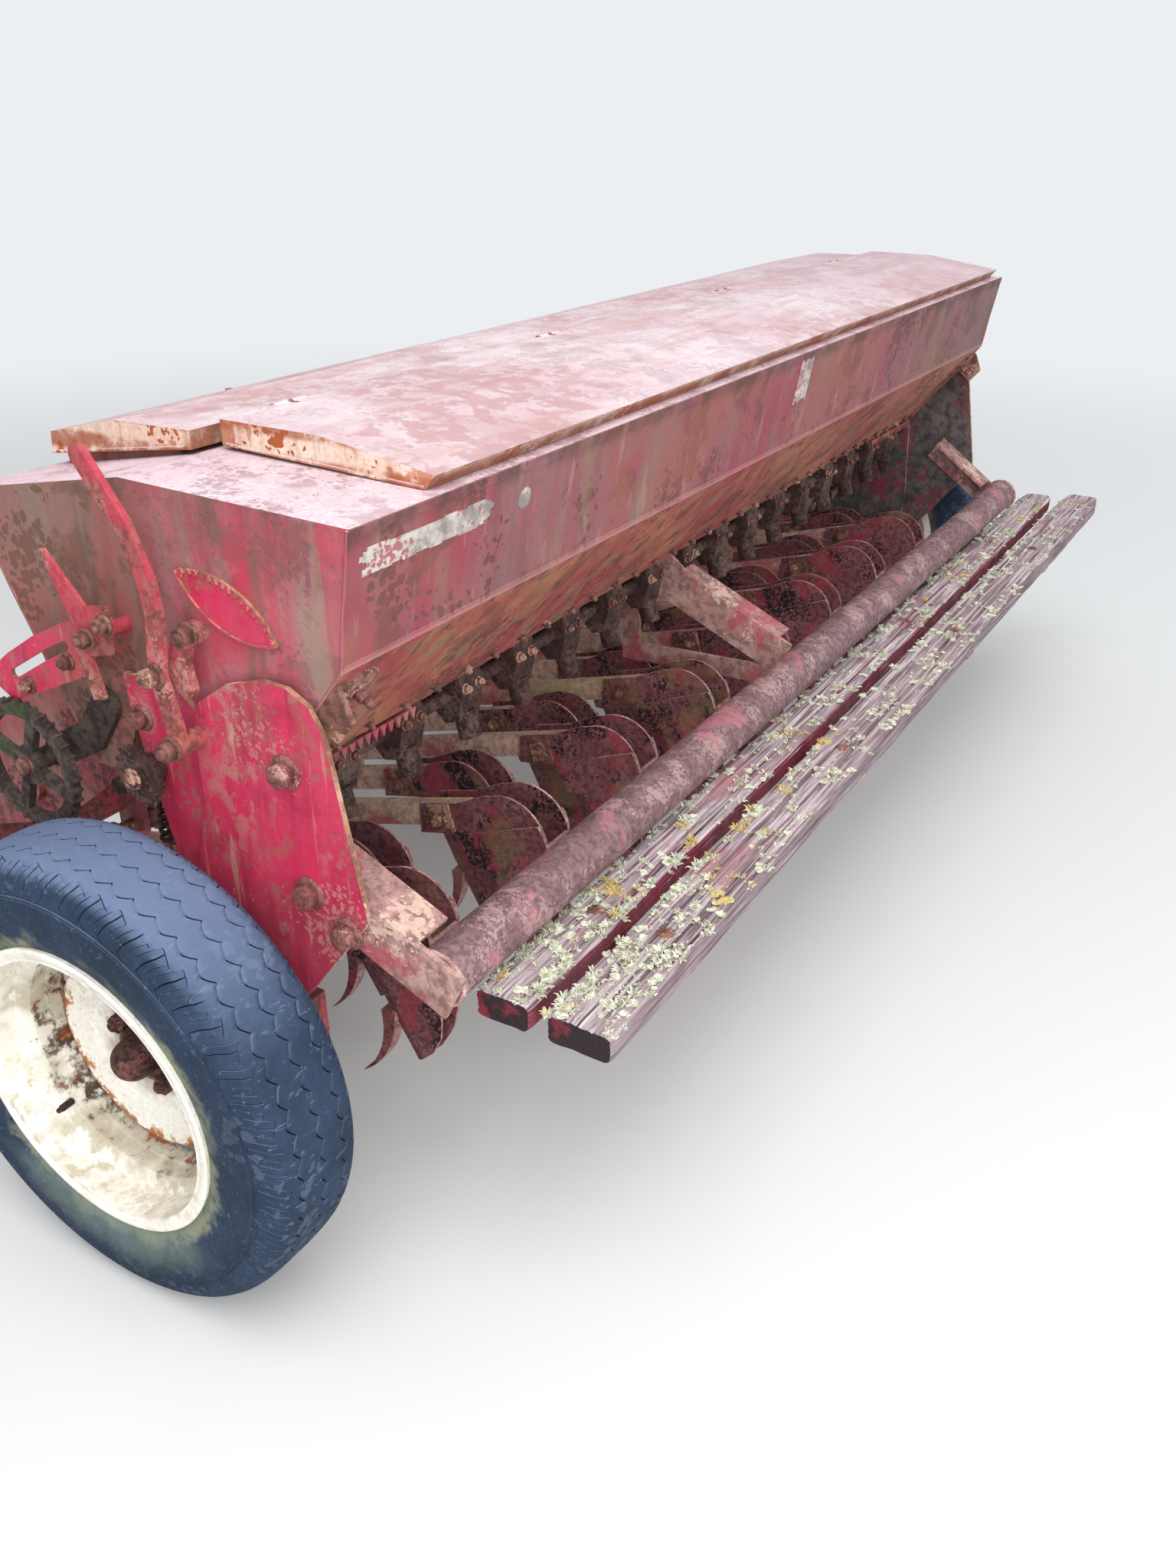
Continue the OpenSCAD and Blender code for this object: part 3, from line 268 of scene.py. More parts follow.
# %% [markdown]
# Three effects are shared by nearly every finish. Patches are clouds with a soft edge, for faded or
# rusted areas. Runs are the same clouds drawn out downwards, as rain draws dirt down a panel. Chips are
# small hard-edged spots where paint has flaked off.

# %% Effect: patches
patches, given, result = new_effect("Patches", [("Vector", "vector", None), ("Scale", "number", 4.0),
                                                ("Low", "number", 0.45), ("High", "number", 0.6)], MASK)
cloud = patches.noise(given["Scale"], 9.0, 0.62, 0.25)
patches.join(patches.span(cloud, given["Low"], given["High"]), result["Mask"])
PATCHES = patches.tree

# %% Effect: runs
runs, given, result = new_effect("Runs", [("Vector", "vector", None), ("Scale", "number", 20.0),
                                          ("Low", "number", 0.45), ("High", "number", 0.65)], MASK)
drawn = runs.noise(given["Scale"], 5.0, 0.55, at=runs.stretch((1, 1, 0.09)))
runs.join(runs.span(drawn, given["Low"], given["High"]), result["Mask"])
RUNS = runs.tree

# %% Effect: chips
chips, given, result = new_effect("Chips", [("Vector", "vector", None), ("Scale", "number", 60.0),
                                            ("Amount", "number", 0.5)], MASK)
wobble = chips.add("TexNoise", {"Vector": given["Vector"], "Scale": 45.0, "Detail": 3.0}, out=1)
moved = chips.add("VectorMath", {0: wobble, "Scale": 0.03}, operation="SCALE")
place = chips.add("VectorMath", {0: given["Vector"], 1: moved}, operation="ADD")
cell = chips.add("TexVoronoi", {"Vector": place, "Scale": given["Scale"], "Randomness": 1.0})
where = chips.noise(7.0, 4.0, 0.6)
limit = chips.times(chips.span(where, 0.42, 0.66), given["Amount"])
near = chips.calc("SUBTRACT", limit, cell)
chips.join(chips.span(near, 0.0, 0.06), result["Mask"])
CHIPS = chips.tree
print("effects:", [g.name for g in bpy.data.node_groups])

# %% [markdown]
# Aged paint is the drill's main finish: a fresh colour that has faded in patches and in runs, rust that
# comes through in spots, and grime that has run down. The effect puts out a colour, a roughness and a
# height for the bump, and each material gives it its own colours and amounts.

# %% Effect: aged paint
paint, given, result = new_effect(
    "Aged Paint",
    [("Vector", "vector", None), ("Fresh", "colour", None), ("Faded", "colour", None),
     ("Rust", "colour", None), ("Grime", "colour", None), ("Fade", "number", 0.6),
     ("Rusting", "number", 0.5), ("Running", "number", 0.5), ("Scale", "number", 1.0)],
    SURFACE)
paint.vector = paint.add("VectorMath", {0: given["Vector"], "Scale": given["Scale"]}, operation="SCALE")
fade_cloud = paint.patches(3.1, 0.36, 0.62)
fade_run = paint.runs(24.0, 0.4, 0.66)
fading = paint.calc("ADD", paint.times(fade_cloud, 0.75), paint.times(fade_run, 0.5))
fading = paint.times(fading, given["Fade"], clamp=True)
colour = paint.mix(fading, given["Fresh"], given["Faded"])
fine = paint.noise(95.0, 4.0, 0.7)
colour = paint.mix(paint.span(fine, 0.3, 0.75, 0.0, 0.32), colour, given["Grime"])
rust_cloud = paint.patches(8.5, 0.54, 0.6)
rust_chip = paint.chips(70.0, 0.62)
rusting = paint.calc("MAXIMUM", paint.times(rust_cloud, 0.75), rust_chip)
rusting = paint.times(rusting, given["Rusting"], clamp=True)
colour = paint.mix(rusting, colour, given["Rust"])
grime_run = paint.runs(37.0, 0.52, 0.7)
running = paint.times(grime_run, given["Running"], clamp=True)
colour = paint.mix(running, colour, given["Grime"])
paint.join(colour, result["Colour"])
rough = paint.calc("ADD", paint.times(fading, 0.25), paint.times(rusting, 0.3))
paint.join(paint.calc("ADD", rough, 0.46), result["Roughness"])
height = paint.calc("SUBTRACT", paint.times(fine, 0.35), rusting)
paint.join(height, result["Height"])
AGED_PAINT = paint.tree

# %% [markdown]
# Bare steel that has stood outside for years carries a mottled skin of rust, from nearly black through
# brown to a dusty pink or orange. Three clouds of different size decide which shade shows.

# %% Effect: rust skin
skin, given, result = new_effect(
    "Rust Skin", [("Vector", "vector", None), ("Dark", "colour", None), ("Body", "colour", None),
                  ("Bloom", "colour", None), ("Fleck", "colour", None), ("Scale", "number", 1.0)],
    SURFACE)
skin.vector = skin.add("VectorMath", {0: given["Vector"], "Scale": given["Scale"]}, operation="SCALE")
wide = skin.patches(14.0, 0.38, 0.64)
mottle = skin.patches(52.0, 0.42, 0.62)
grain = skin.noise(210.0, 3.0, 0.7)
colour = skin.mix(wide, given["Body"], given["Bloom"])
colour = skin.mix(skin.times(mottle, 0.7), colour, given["Dark"])
fleck = skin.chips(85.0, 0.7)
colour = skin.mix(fleck, colour, given["Fleck"])
colour = skin.mix(skin.span(grain, 0.35, 0.75, 0.0, 0.35), colour, given["Dark"])
skin.join(colour, result["Colour"])
skin.join(skin.span(mottle, 0.0, 1.0, 0.62, 0.88), result["Roughness"])
skin.join(skin.calc("ADD", skin.times(mottle, 0.5), skin.times(grain, 0.6)), result["Height"])
RUST_SKIN = skin.tree

# %% Effect: facing
# How far a face looks along a direction, so that edges and top sides can be finished on their own.
facing, given, result = new_effect("Facing", [("Normal", "vector", None), ("Axis", "vector", (0, 0, 1)),
                                              ("Low", "number", 0.4), ("High", "number", 0.6)],
                                   [("Along", "number"), ("Either Way", "number")])
dot = facing.add("VectorMath", {0: given["Normal"], 1: given["Axis"]}, operation="DOT_PRODUCT", out="Value")
facing.join(facing.span(dot, given["Low"], given["High"]), result["Along"])
facing.join(facing.span(facing.calc("ABSOLUTE", dot), given["Low"], given["High"]), result["Either Way"])
FACING = facing.tree
print("effects:", [g.name for g in bpy.data.node_groups])

# %% [markdown]
# Every material starts the same way: object coordinates and the object's own normals come in, and one
# Principled shader takes the colour, the roughness and a bump made from the height. Values that are
# the same all over sit on the shader itself.

# %% Starting and ending a material


def start(name):
    material = bpy.data.materials.new(name)
    material.use_nodes = True
    material.node_tree.nodes.clear()
    recipe = Recipe(material.node_tree)
    coordinates = recipe.tree.nodes.new("ShaderNodeTexCoord")
    coordinates.location = (-400, 0)
    recipe.vector = coordinates.outputs["Object"]
    recipe.normal = coordinates.outputs["Normal"]
    return material, recipe


def end(recipe, colour, rough, height, bump, strength, metallic=0.0, specular=0.35):
    normal = recipe.add("Bump", {"Height": height, "Distance": bump, "Strength": strength})
    shader = recipe.tree.nodes.new("ShaderNodeBsdfPrincipled")
    shader.location = (2600, 0)
    shader.inputs["Metallic"].default_value = metallic
    shader.inputs["Specular IOR Level"].default_value = specular
    recipe.join(colour, shader.inputs["Base Color"])
    recipe.join(rough, shader.inputs["Roughness"])
    recipe.join(normal, shader.inputs["Normal"])
    output = recipe.tree.nodes.new("ShaderNodeOutputMaterial")
    output.location = (2900, 0)
    recipe.tree.links.new(shader.outputs["BSDF"], output.inputs["Surface"])
    return shader, output


print("materials can start")

# %% [markdown]
# The floor shows paler to the camera, through Light Path, than to everything else. A few metres out it
# turns into the backdrop's own colour, which needs an emission shader beside the Principled one.

# %% Floor material
floor_paint, recipe = start("pale_floor")
to_camera = recipe.add("LightPath", out="Is Camera Ray")
shade = recipe.mix(to_camera, (0.5, 0.51, 0.51, 1), (0.66, 0.67, 0.675, 1))
surface, output = end(recipe, shade, 0.9, recipe.noise(30.0), 0.0002, 0.1, specular=0.1)
from_middle = recipe.add("VectorMath", {0: recipe.vector}, operation="LENGTH", out="Value")
haze_share = recipe.times(recipe.span(from_middle, 2.2, 7.0), to_camera)
haze = recipe.add("Emission", {"Color": BACKDROP})
faded_floor = recipe.add("MixShader", {0: haze_share, 1: surface.outputs["BSDF"], 2: haze})
recipe.tree.links.new(faded_floor, output.inputs["Surface"])
floor.data.materials.append(floor_paint)
print("floor:", floor_paint.name)

# %% [markdown]
# The hopper was crimson. Sun has turned its long panel to a dusty pink with olive and brown runs, the
# funnel below it is darker and streaked by seed dust and rain, and its flat top sheets are bleached
# nearly white. The way a face looks decides which of the three it gets.

# %% Hopper paint
hopper_paint, recipe = start("hopper_paint")
side, side_rough, side_height = recipe.aged("92354a 895d60 603e39 5a4843", 0.9, 0.85, 0.35)
side = recipe.lay(side, "93594a", recipe.patches(4.2, 0.46, 0.66, at=recipe.stretch((0.8, 1, 0.7))), 0.6)
zones = recipe.cloud(3.0, 3.0, 0.6, 0.4, 0.62)
olive = recipe.runs(15.0, 0.5, 0.68)
side = recipe.lay(side, "7d7058", recipe.times(olive, zones), 0.6)
side = recipe.lay(side, "b08484", recipe.runs(44.0, 0.58, 0.7), 0.3)  # pale run
side = recipe.lay(side, "6f5b58", recipe.span(recipe.axis(0), 0.1, 1.35, 0.0, 0.5))
lip_rust = recipe.cloud(17.0, 6.0, 0.7, 0.35, 0.6)
side = recipe.lay(side, "4c3734", recipe.times(recipe.heights(1.083, 1.12, 0.014), lip_rust), 0.7)
side = recipe.lay(side, "c88a8c", recipe.heights(0.918, 0.934, 0.004), 0.4)
ends = recipe.aged("bf2f50 a96a72 6b4f4a 6d5c4c", 0.85, 0.55, 0.6, 1.5)[0]
ends = recipe.lay(ends, "a8767a", recipe.patches(9.0, 0.52, 0.58), 0.4)  # scrape
ends = recipe.lay(ends, "8f8672", recipe.runs(26.0, 0.54, 0.64), 0.5)  # grey run
under_rim = recipe.heights(1.02, 1.2, 0.04)
under_rim = recipe.times(under_rim, recipe.cloud(14.0, 6.0, 0.7, 0.35, 0.6))
ends = recipe.lay(ends, "5f4340", under_rim, 0.4)
front_half = recipe.span(recipe.axis(1), -0.6, -0.5)
worn_end = recipe.aged("a34a48 8a7068 6b4b40 5f5548", 0.9, 0.8, 0.6)[0]
ends = recipe.mix(front_half, ends, worn_end)
on_end = recipe.faces((1, 0, 0), 0.8, 0.9, "Either Way")
colour = recipe.mix(on_end, side, ends)
under = recipe.aged("a2414a b0735a 4a2f28 55453a", 0.9, 0.6, 0.9)[0]
under = recipe.lay(under, "8c7f5e", recipe.runs(22.0, 0.52, 0.64), 0.45)  # seed dust
below = recipe.faces((0, 0, -1), 0.25, 0.45)
colour = recipe.mix(below, colour, under)
top = recipe.aged("ead4dc dbbcc5 8a6068 77605f", 0.9, 0.5, 0.1, 1.6)[0]
above = recipe.faces((0, 0, 1), 0.85, 0.95)
colour = recipe.mix(above, colour, top)
end(recipe, colour, side_rough, side_height, 0.0012, 0.5)
print("hopper paint:", len(hopper_paint.node_tree.nodes), "nodes")

# %% [markdown]
# The lids lie flat in the sun: their tops are chalky white over pink, with mauve blotches where the chalk has
# washed off. Their turned-down edges kept a cream undercoat that rusts orange from below, and the rearward
# flange is darkened with painted shade.

# %% Lid paint
lid_chalk, recipe = start("lid_chalk")
top, top_rough, top_height = recipe.aged("e5d8dc d4bbc3 8a6567 a88b8f", 0.85, 0.3, 0.0, 1.3)
wash = recipe.patches(2.6, 0.43, 0.57, at=recipe.stretch((0.6, 1, 1)))
fine_wash = recipe.patches(26.0, 0.45, 0.55)
blotch = recipe.times(wash, recipe.span(fine_wash, 0.0, 1.0, 0.3, 0.85))
top = recipe.lay(top, "b88f92", blotch)
streak = recipe.noise(2.2, 6.0, 0.65, 0.4, at=recipe.stretch((1.1, 9, 9)))
top = recipe.lay(top, "c29a96", recipe.span(streak, 0.5, 0.64, 0.0, 0.5))
top = recipe.lay(top, "a9877f", recipe.patches(5.0, 0.56, 0.66), 0.55)  # brown
top = recipe.lay(top, "c4acb4", recipe.span(recipe.axis(0), 0.0, 1.3, 0.0, 0.55))
flange = recipe.aged("f2dfcd dcb5a2 a8552c 7b5040", 0.6, 1.0, 0.4, 1.5)[0]
rust_line = recipe.calc("MAXIMUM", recipe.heights(1.09, 1.117, 0.004), recipe.heights(1.139, 1.16, 0.004))
rust_line = recipe.times(rust_line, recipe.cloud(24.0, 6.0, 0.7, 0.36, 0.56))
flange = recipe.lay(flange, "9c5430", rust_line, 0.85)
# Painted shade: flange faces that look rearwards are darkened to stand in for the shadow line under the lid's
# rear edge.
flange = recipe.lay(flange, "6b4034", recipe.faces((0, -1, 0), 0.6, 0.8), 0.6)
above = recipe.faces((0, 0, 1), 0.55, 0.75)
colour = recipe.mix(above, flange, top)
end(recipe, colour, top_rough, top_height, 0.0012, 0.5)
print("lid paint:", len(lid_chalk.node_tree.nodes), "nodes")

# %% [markdown]
# The end plates kept the strongest crimson, because the hopper shades them. Tan scrapes and thin runs
# cross them, and their cut edges are a dusty rust.

# %% Crimson paint
end_crimson, recipe = start("end_crimson")
face, rough, height = recipe.aged("cf2450 bd4e66 8d6050 8c2440", 0.6, 0.6, 0.5, 1.3)
lower = recipe.heights(0.3, 0.66, 0.12)
dull = recipe.patches(5.0, 0.42, 0.56)
face = recipe.lay(face, "8e3448", recipe.times(lower, dull), 0.6)
scrape = recipe.patches(19.0, 0.55, 0.6, at=recipe.stretch((1, 1, 0.7)))
worn_zone = recipe.cloud(5.0, 3.0, 0.6, 0.4, 0.62)
face = recipe.lay(face, "a67a70", recipe.times(scrape, worn_zone), 0.6)
face = recipe.lay(face, "b8907e", recipe.chips(120.0, 0.5), 0.5)  # speck
face = recipe.lay(face, "8f1634", recipe.patches(13.0, 0.5, 0.66), 0.35)  # dark cloud
face = recipe.lay(face, "c49a8a", recipe.runs(60.0, 0.62, 0.7), 0.4)  # thin run
edge = recipe.faces((1, 0, 0), 0.5, 0.7, "Either Way")
rim_rust = recipe.rusted("5a3a30 a8795f c09a82 cdb09c")[0]
colour = recipe.mix(edge, rim_rust, face)
# The inner faces, turned towards the coulters, were never cleaned: a grey-olive skin with maroon left on it.
along_x = recipe.axis(0)
turned_x = recipe.axis(0, of=recipe.normal)
inwards = recipe.span(recipe.times(along_x, turned_x), -0.8, -0.6, 1.0, 0.0)
dirty = recipe.rusted("2b2a2c 565052 6f6a64 7d3a46")[0]
colour = recipe.mix(inwards, colour, dirty)
end(recipe, colour, rough, height, 0.001, 0.5)

# %% Worn red paint
worn_red, recipe = start("worn_red")
face, rough, height = recipe.aged("ae3a4c a06a6c 5f4038 4f3c36", 0.75, 0.9, 0.4, 1.4)
face = recipe.lay(face, "a0806e", recipe.patches(8.0, 0.5, 0.6), 0.5)  # tan
end(recipe, face, rough, height, 0.001, 0.5)
print("red paints ready")

# %% [markdown]
# Bare and half-painted steel: the step pipe is mauve-brown with a fine mottle, the coulter arms are a
# dusty tan with crimson left on them, and the boots are dark rust with pale, worn edges.

# %% Steel finishes


def steel(name, shades, scale, left=(), bump=0.0015, strength=0.7, further=None):
    """Rusted steel with paint left on it in patches: code, scale, low, high and share of each paint."""
    material, recipe = start(name)
    colour, rough, height = recipe.rusted(shades, scale)
    for code, size, low, high, share in left:
        colour = recipe.lay(colour, code, recipe.patches(size, low, high), share)
    if further:
        colour = further(recipe, colour)
    end(recipe, colour, rough, height, bump, strength)
    return material


def rolled_marks(recipe, colour):
    """Faint marks that wind round the pipe."""
    spiral = recipe.add("TexWave", {"Vector": recipe.stretch((1, 0.35, 0.35)), "Scale": 26.0,
                                    "Distortion": 3.0, "Detail": 4.0, "Detail Scale": 3.0}, out=1,
                        bands_direction="DIAGONAL")
    return recipe.lay(colour, "654a4c", recipe.span(spiral, 0.55, 0.9, 0.0, 0.25))


def worn_edges(recipe, colour):
    """Pale rust on all faces that don't look along the drill."""
    flat = recipe.faces((1, 0, 0), 0.55, 0.75, "Either Way")
    edge_colour = recipe.rusted("6a4040 a67a76 bd948e d0aca4", 1.8)[0]
    return recipe.mix(flat, edge_colour, colour)


pipe_steel = steel("pipe_steel", "524045 7f6163 8f7275 a88a88", 2.0, [("b5707c", 9.0, 0.56, 0.62, 0.6)],
                   strength=0.8, further=rolled_marks)
bracket_steel = steel("bracket_steel", "6d4a48 a5807c bd9a92 cfb0a2", 1.2, [("a84a58", 7.5, 0.5, 0.58, 0.75)])
lever_steel = steel("lever_steel", "5a302c 9c5450 b07068 b8847a", 1.6, [("b8384c", 9.5, 0.46, 0.56, 0.75)])
arm_steel = steel("arm_steel", "8a6a5e c8a494 dcbcae b3a474", 1.4, [("ab4456", 5.5, 0.5, 0.58, 0.7)])
boot_steel = steel("boot_steel", "3c2226 80484c 946266 1e1216", 1.9,
                   [("98384a", 12.0, 0.52, 0.6, 0.7), ("7d6b4c", 6.0, 0.56, 0.63, 0.6)], further=worn_edges)
dark_steel = steel("dark_steel", "1a1212 3e2a27 563731 5c4a41", 1.8)
brown_steel = steel("brown_steel", "3d2825 7a4f46 96695c b08a78", 1.4, bump=0.0012, strength=0.6)
bolt_steel = steel("bolt_steel", "4e2a2a 87524f 9a6a64 b88c84", 2.5, bump=0.0008, strength=0.6)
mossy_iron = steel("mossy_iron", "1c1716 473a36 5e5048 3c4a2c", 1.2, bump=0.0025, strength=0.8)
hub_iron = steel("hub_iron", "1c1313 4a302c 85504a 120d0d", 2.0, bump=0.001, strength=0.6)

rod_steel, recipe = start("rod_steel")
skin_colour, rough, height = recipe.rusted("6a5c52 9d9890 b5b1a9 7a5440", 1.4)
end(recipe, skin_colour, recipe.times(rough, 0.55), height, 0.0004, 0.4, metallic=0.7)
print("steels ready")

# %% [markdown]
# The wheel is seen from close by. Its rim is cream enamel, clean in the well and rusted along the joint
# with the disc, so the finish follows the distance from the axle, measured on the object itself.

# %% Rim enamel
AXLE_Y = 342
AXLE_Z = 345
AXLE = spot(0, AXLE_Y, AXLE_Z)


def from_axle(recipe, scale, detail, swing):
    """The distance from the axle's line in metres, made ragged by a cloud."""
    moved = recipe.add("Mapping", {"Vector": recipe.vector, "Location": (0, -AXLE.y, -AXLE.z)})
    flat = recipe.add("VectorMath", {0: moved, 1: (0, 1, 1)}, operation="MULTIPLY")
    radius = recipe.add("VectorMath", {0: flat}, operation="LENGTH", out="Value")
    return recipe.calc("ADD", radius, recipe.cloud(scale, detail, 0.7, 0.2, 0.8, -swing, swing))


rim_enamel, recipe = start("rim_enamel")
base, rough, height = recipe.aged("fdfcf7 f1ebdc a5673c b3a78f", 0.5, 0.22, 0.1, 1.6)
ragged = from_axle(recipe, 38.0, 6.0, 0.022)
ring = recipe.band(ragged, 0.136, 0.148, 0.166, 0.176)
ring = recipe.times(ring, recipe.cloud(22.0, 5.0, 0.7, 0.3, 0.45))
colour = recipe.lay(base, "b06a34", ring)
seam = recipe.band(ragged, 0.154, 0.162, 0.172, 0.184)
seam = recipe.times(seam, recipe.cloud(9.0, 5.0, 0.7, 0.36, 0.56, 0.35, 0.95))
colour = recipe.lay(colour, "3a2a22", seam)
well_dirt = recipe.band(ragged, 0.168, 0.18, 0.19, 0.204)
well_dirt = recipe.times(well_dirt, recipe.cloud(7.0, 4.0, 0.6, 0.42, 0.6, 0.15, 0.7))
colour = recipe.lay(colour, "a39c7c", well_dirt)
colour = recipe.lay(colour, "8a5c40", recipe.span(ragged, 0.05, 0.085, 1.0, 0.0), 0.55)
end(recipe, colour, rough, height, 0.0012, 0.5, specular=0.45)
print("rim enamel ready")

# %% [markdown]
# Tyre rubber bleaches to a blue-grey, and faces turned upwards get a lighter blue, a painted sheen of the
# sky.
# The grooves are darkened with their depth, partly unbleached rubber and partly painted shade, and where they
# are nearly worn away dust fills them. Both are stored on the mesh as attributes when the tread is cut, and
# the material reads them here. Mud and yellow dust lie near the bead.

# %% Rubber
grey_rubber, recipe = start("grey_rubber")
groove_shade = recipe.add("Attribute", attribute_name="groove_shade", out="Fac")
filled = recipe.add("Attribute", attribute_name="filled_groove", out="Fac")
cloud = recipe.patches(12.0, 0.35, 0.65)
colour = recipe.mix(cloud, seen_colour("253246"), seen_colour("304058"))
fine = recipe.noise(160.0, 4.0, 0.7)
colour = recipe.lay(colour, "222b3b", recipe.span(fine, 0.3, 0.8, 0.0, 0.4))
colour = recipe.lay(colour, "6c7890", recipe.chips(55.0, 0.5), 0.25)  # scuff
# Painted sheen: faces turned upwards get a lighter blue, a reflection of the sky painted into the rubber's
# colour.
colour = recipe.lay(colour, "7284a6", recipe.faces((0, 0, 1), 0.4, 1.0), 0.7)
scratch = recipe.noise(1.0, 3.0, 0.6, 0.8, at=recipe.stretch((40, 160, 160)))
colour = recipe.lay(colour, "7f8eaa", recipe.span(scratch, 0.62, 0.68, 0.0, 0.3))
colour = recipe.lay(colour, "858f9c", filled, 0.45, True)
ragged = from_axle(recipe, 15.0, 5.0, 0.02)
colour = recipe.lay(colour, "222b3d", recipe.band(ragged, 0.262, 0.29, 0.3, 0.312), 0.3)
dust = recipe.times(recipe.span(ragged, 0.228, 0.25, 1.0, 0.0), recipe.patches(5.0, 0.4, 0.6))
colour = recipe.lay(colour, "a5aa86", dust, 0.6)
mud = recipe.times(recipe.span(ragged, 0.3, 0.24), recipe.heights(0.0, 0.16, 0.03))
colour = recipe.lay(colour, "7d8a80", mud, 0.5, True)
# Painted shade: the grooves darken with their depth, over the unbleached rubber they keep.
colour = recipe.lay(colour, "12161f", groove_shade, 0.9, True)
end(recipe, colour, recipe.span(fine, 0.2, 0.8, 0.65, 0.85), fine, 0.0006, 0.5, specular=0.2)
print("rubber ready")

# %% [markdown]
# Timber: grey, weathered softwood. The grain is a noise drawn out along the plank, with dark checks
# where it has opened and red paint left in hollows. The long edges kept more of the paint, except the
# outermost one, which is bare and grey, and the sawn ends are dark.

# %% Weathered timber
timber, recipe = start("weathered_timber")
fibre = recipe.noise(1.0, 9.0, 0.68, 0.35, at=recipe.stretch((6, 150, 150)))
band = recipe.noise(1.0, 6.0, 0.6, 0.6, at=recipe.stretch((1.8, 44, 44)))
colour = recipe.mix(recipe.span(fibre, 0.34, 0.64), seen_colour("5f4d52"), seen_colour("cfc2c7"))
colour = recipe.lay(colour, "8f747a", recipe.span(band, 0.42, 0.66, 0.0, 0.55))
check = recipe.noise(1.0, 4.0, 0.5, 0.2, at=recipe.stretch((2.2, 130, 130)))
check = recipe.span(check, 0.3, 0.37, 1.0, 0.0)
colour = recipe.lay(colour, "2f2328", check, 0.9)
old_red = recipe.patches(5.5, 0.54, 0.62)
old_red = recipe.times(old_red, recipe.span(fibre, 0.35, 0.6))
colour = recipe.lay(colour, "a35a62", old_red, 0.65)
up = recipe.faces((0, 0, 1), 0.3, 0.7)
edge_red = recipe.aged("8e2f45 8a5a60 4a3038 3a2a2e", 0.7, 0.6, 0.2, 2.0)[0]
colour = recipe.mix(up, edge_red, colour)
grey_wood = recipe.mix(recipe.span(fibre, 0.32, 0.68), seen_colour("5b4b50"), seen_colour("a5959a"))
rear_edge = recipe.faces((0, -1, 0), 0.4, 0.7)
outer_plank = recipe.span(recipe.axis(1), -1.11, -1.09, 1.0, 0.0)
colour = recipe.mix(recipe.times(rear_edge, outer_plank), colour, grey_wood)
tip = recipe.faces((1, 0, 0), 0.6, 0.85, "Either Way")
tip_red = recipe.patches(16.0, 0.5, 0.6)
colour = recipe.mix(tip, colour, recipe.mix(tip_red, seen_colour("352c2f"), seen_colour("84323f")))
height = recipe.calc("SUBTRACT", fibre, check)
end(recipe, colour, recipe.span(fibre, 0.3, 0.7, 0.95, 0.8), height, 0.003, 0.8, specular=0.15)

lichen_crust, recipe = start("lichen_crust")
cloud = recipe.noise(120.0, 4.0, 0.7)
tint = recipe.noise(9.0, 3.0, 0.6)
colour = recipe.mix(recipe.span(cloud, 0.35, 0.65), seen_colour("a4a78c"), seen_colour("e4e6d4"))
colour = recipe.lay(colour, "c9a84a", recipe.span(tint, 0.6, 0.66, 0.0, 0.7))
end(recipe, colour, 0.95, cloud, 0.0008, 0.6, specular=0.1)
print("timber and lichen ready")

# %% [markdown]
# Old stickers are paper: grey-white, torn at the rim and stained. They stay blank.

# %% Paper
old_paper, recipe = start("old_paper")
stain = recipe.noise(26.0, 7.0, 0.7)
colour = recipe.mix(recipe.span(stain, 0.35, 0.62), seen_colour("c4bcb6"), seen_colour("857c7a"))
colour = recipe.lay(colour, "a0666a", recipe.chips(110.0, 0.6))
end(recipe, colour, 0.8, stain, 0.0003, 0.5, specular=0.2)
print("materials:", len(bpy.data.materials))

# %% [markdown]
# Now the CAD nodes get their finishes. A node keeps its shape and its place, and only its material
# slot is filled.

# %% Finishes for the CAD nodes
FINISH = [
    (hopper_paint, ["grain_box", "fertiliser_box"]),
    (lid_chalk, ["grain_lid", "fertiliser_lid"]),
    (end_crimson, ["end_plates", "end_badge", "rate_quadrant"]),
    (worn_red, ["frame", "drawbar", "hopper_posts", "rockshaft", "rock_fingers", "hitch_clevis", "jack_tube",
                "cylinder_barrel"]),
    (bracket_steel, ["step_end_brackets", "step_mid_bracket", "plank_brackets"]),
    (lever_steel, ["hand_lever", "rate_pointer"]),
    (pipe_steel, ["step_pipe"]),
    (arm_steel, ["arms_rear", "arms_front"]),
    (boot_steel, ["boots_rear", "boots_front"]),
    (dark_steel, ["grain_feeds", "fertiliser_feeds", "feed_shafts", "springs"]),
    (brown_steel, ["axle_stubs", "pivot_bar", "lift_rods", "funnel_brackets", "grain_lid_hinges",
                   "fertiliser_lid_hinges", "jack_leg"]),
    (rod_steel, ["cylinder_rod"]),
    (mossy_iron, ["drive_gear"]),
    (rim_enamel, ["rim_left", "rim_right"]),
    (hub_iron, ["hub_left", "hub_right"]),
    (grey_rubber, ["tyre_left", "tyre_right"]),
    (timber, ["plank_inner", "plank_outer"]),
]
for material, members in FINISH:
    for member in members:
        for slot in nodes[member].material_slots:
            slot.material = material
bare = sorted(set(nodes) - {m for material, members in FINISH for m in members})
print("nodes without a finish:", bare)

# %% [markdown]
# New pieces are modelled with Blender's own operators. These helpers keep the steps short: one clears
# the selection, one picks faces by their place, one settles a finished piece with its place in the
# mesh, and one makes many copies of a model that was built once.

# %% Helpers for modelling


def clear():
    if bpy.context.object and bpy.context.object.mode != "OBJECT":
        bpy.ops.object.mode_set(mode="OBJECT")
    bpy.ops.object.select_all(action="DESELECT")


def work_on(piece):
    clear()
    piece.select_set(True)
    bpy.context.view_layer.objects.active = piece


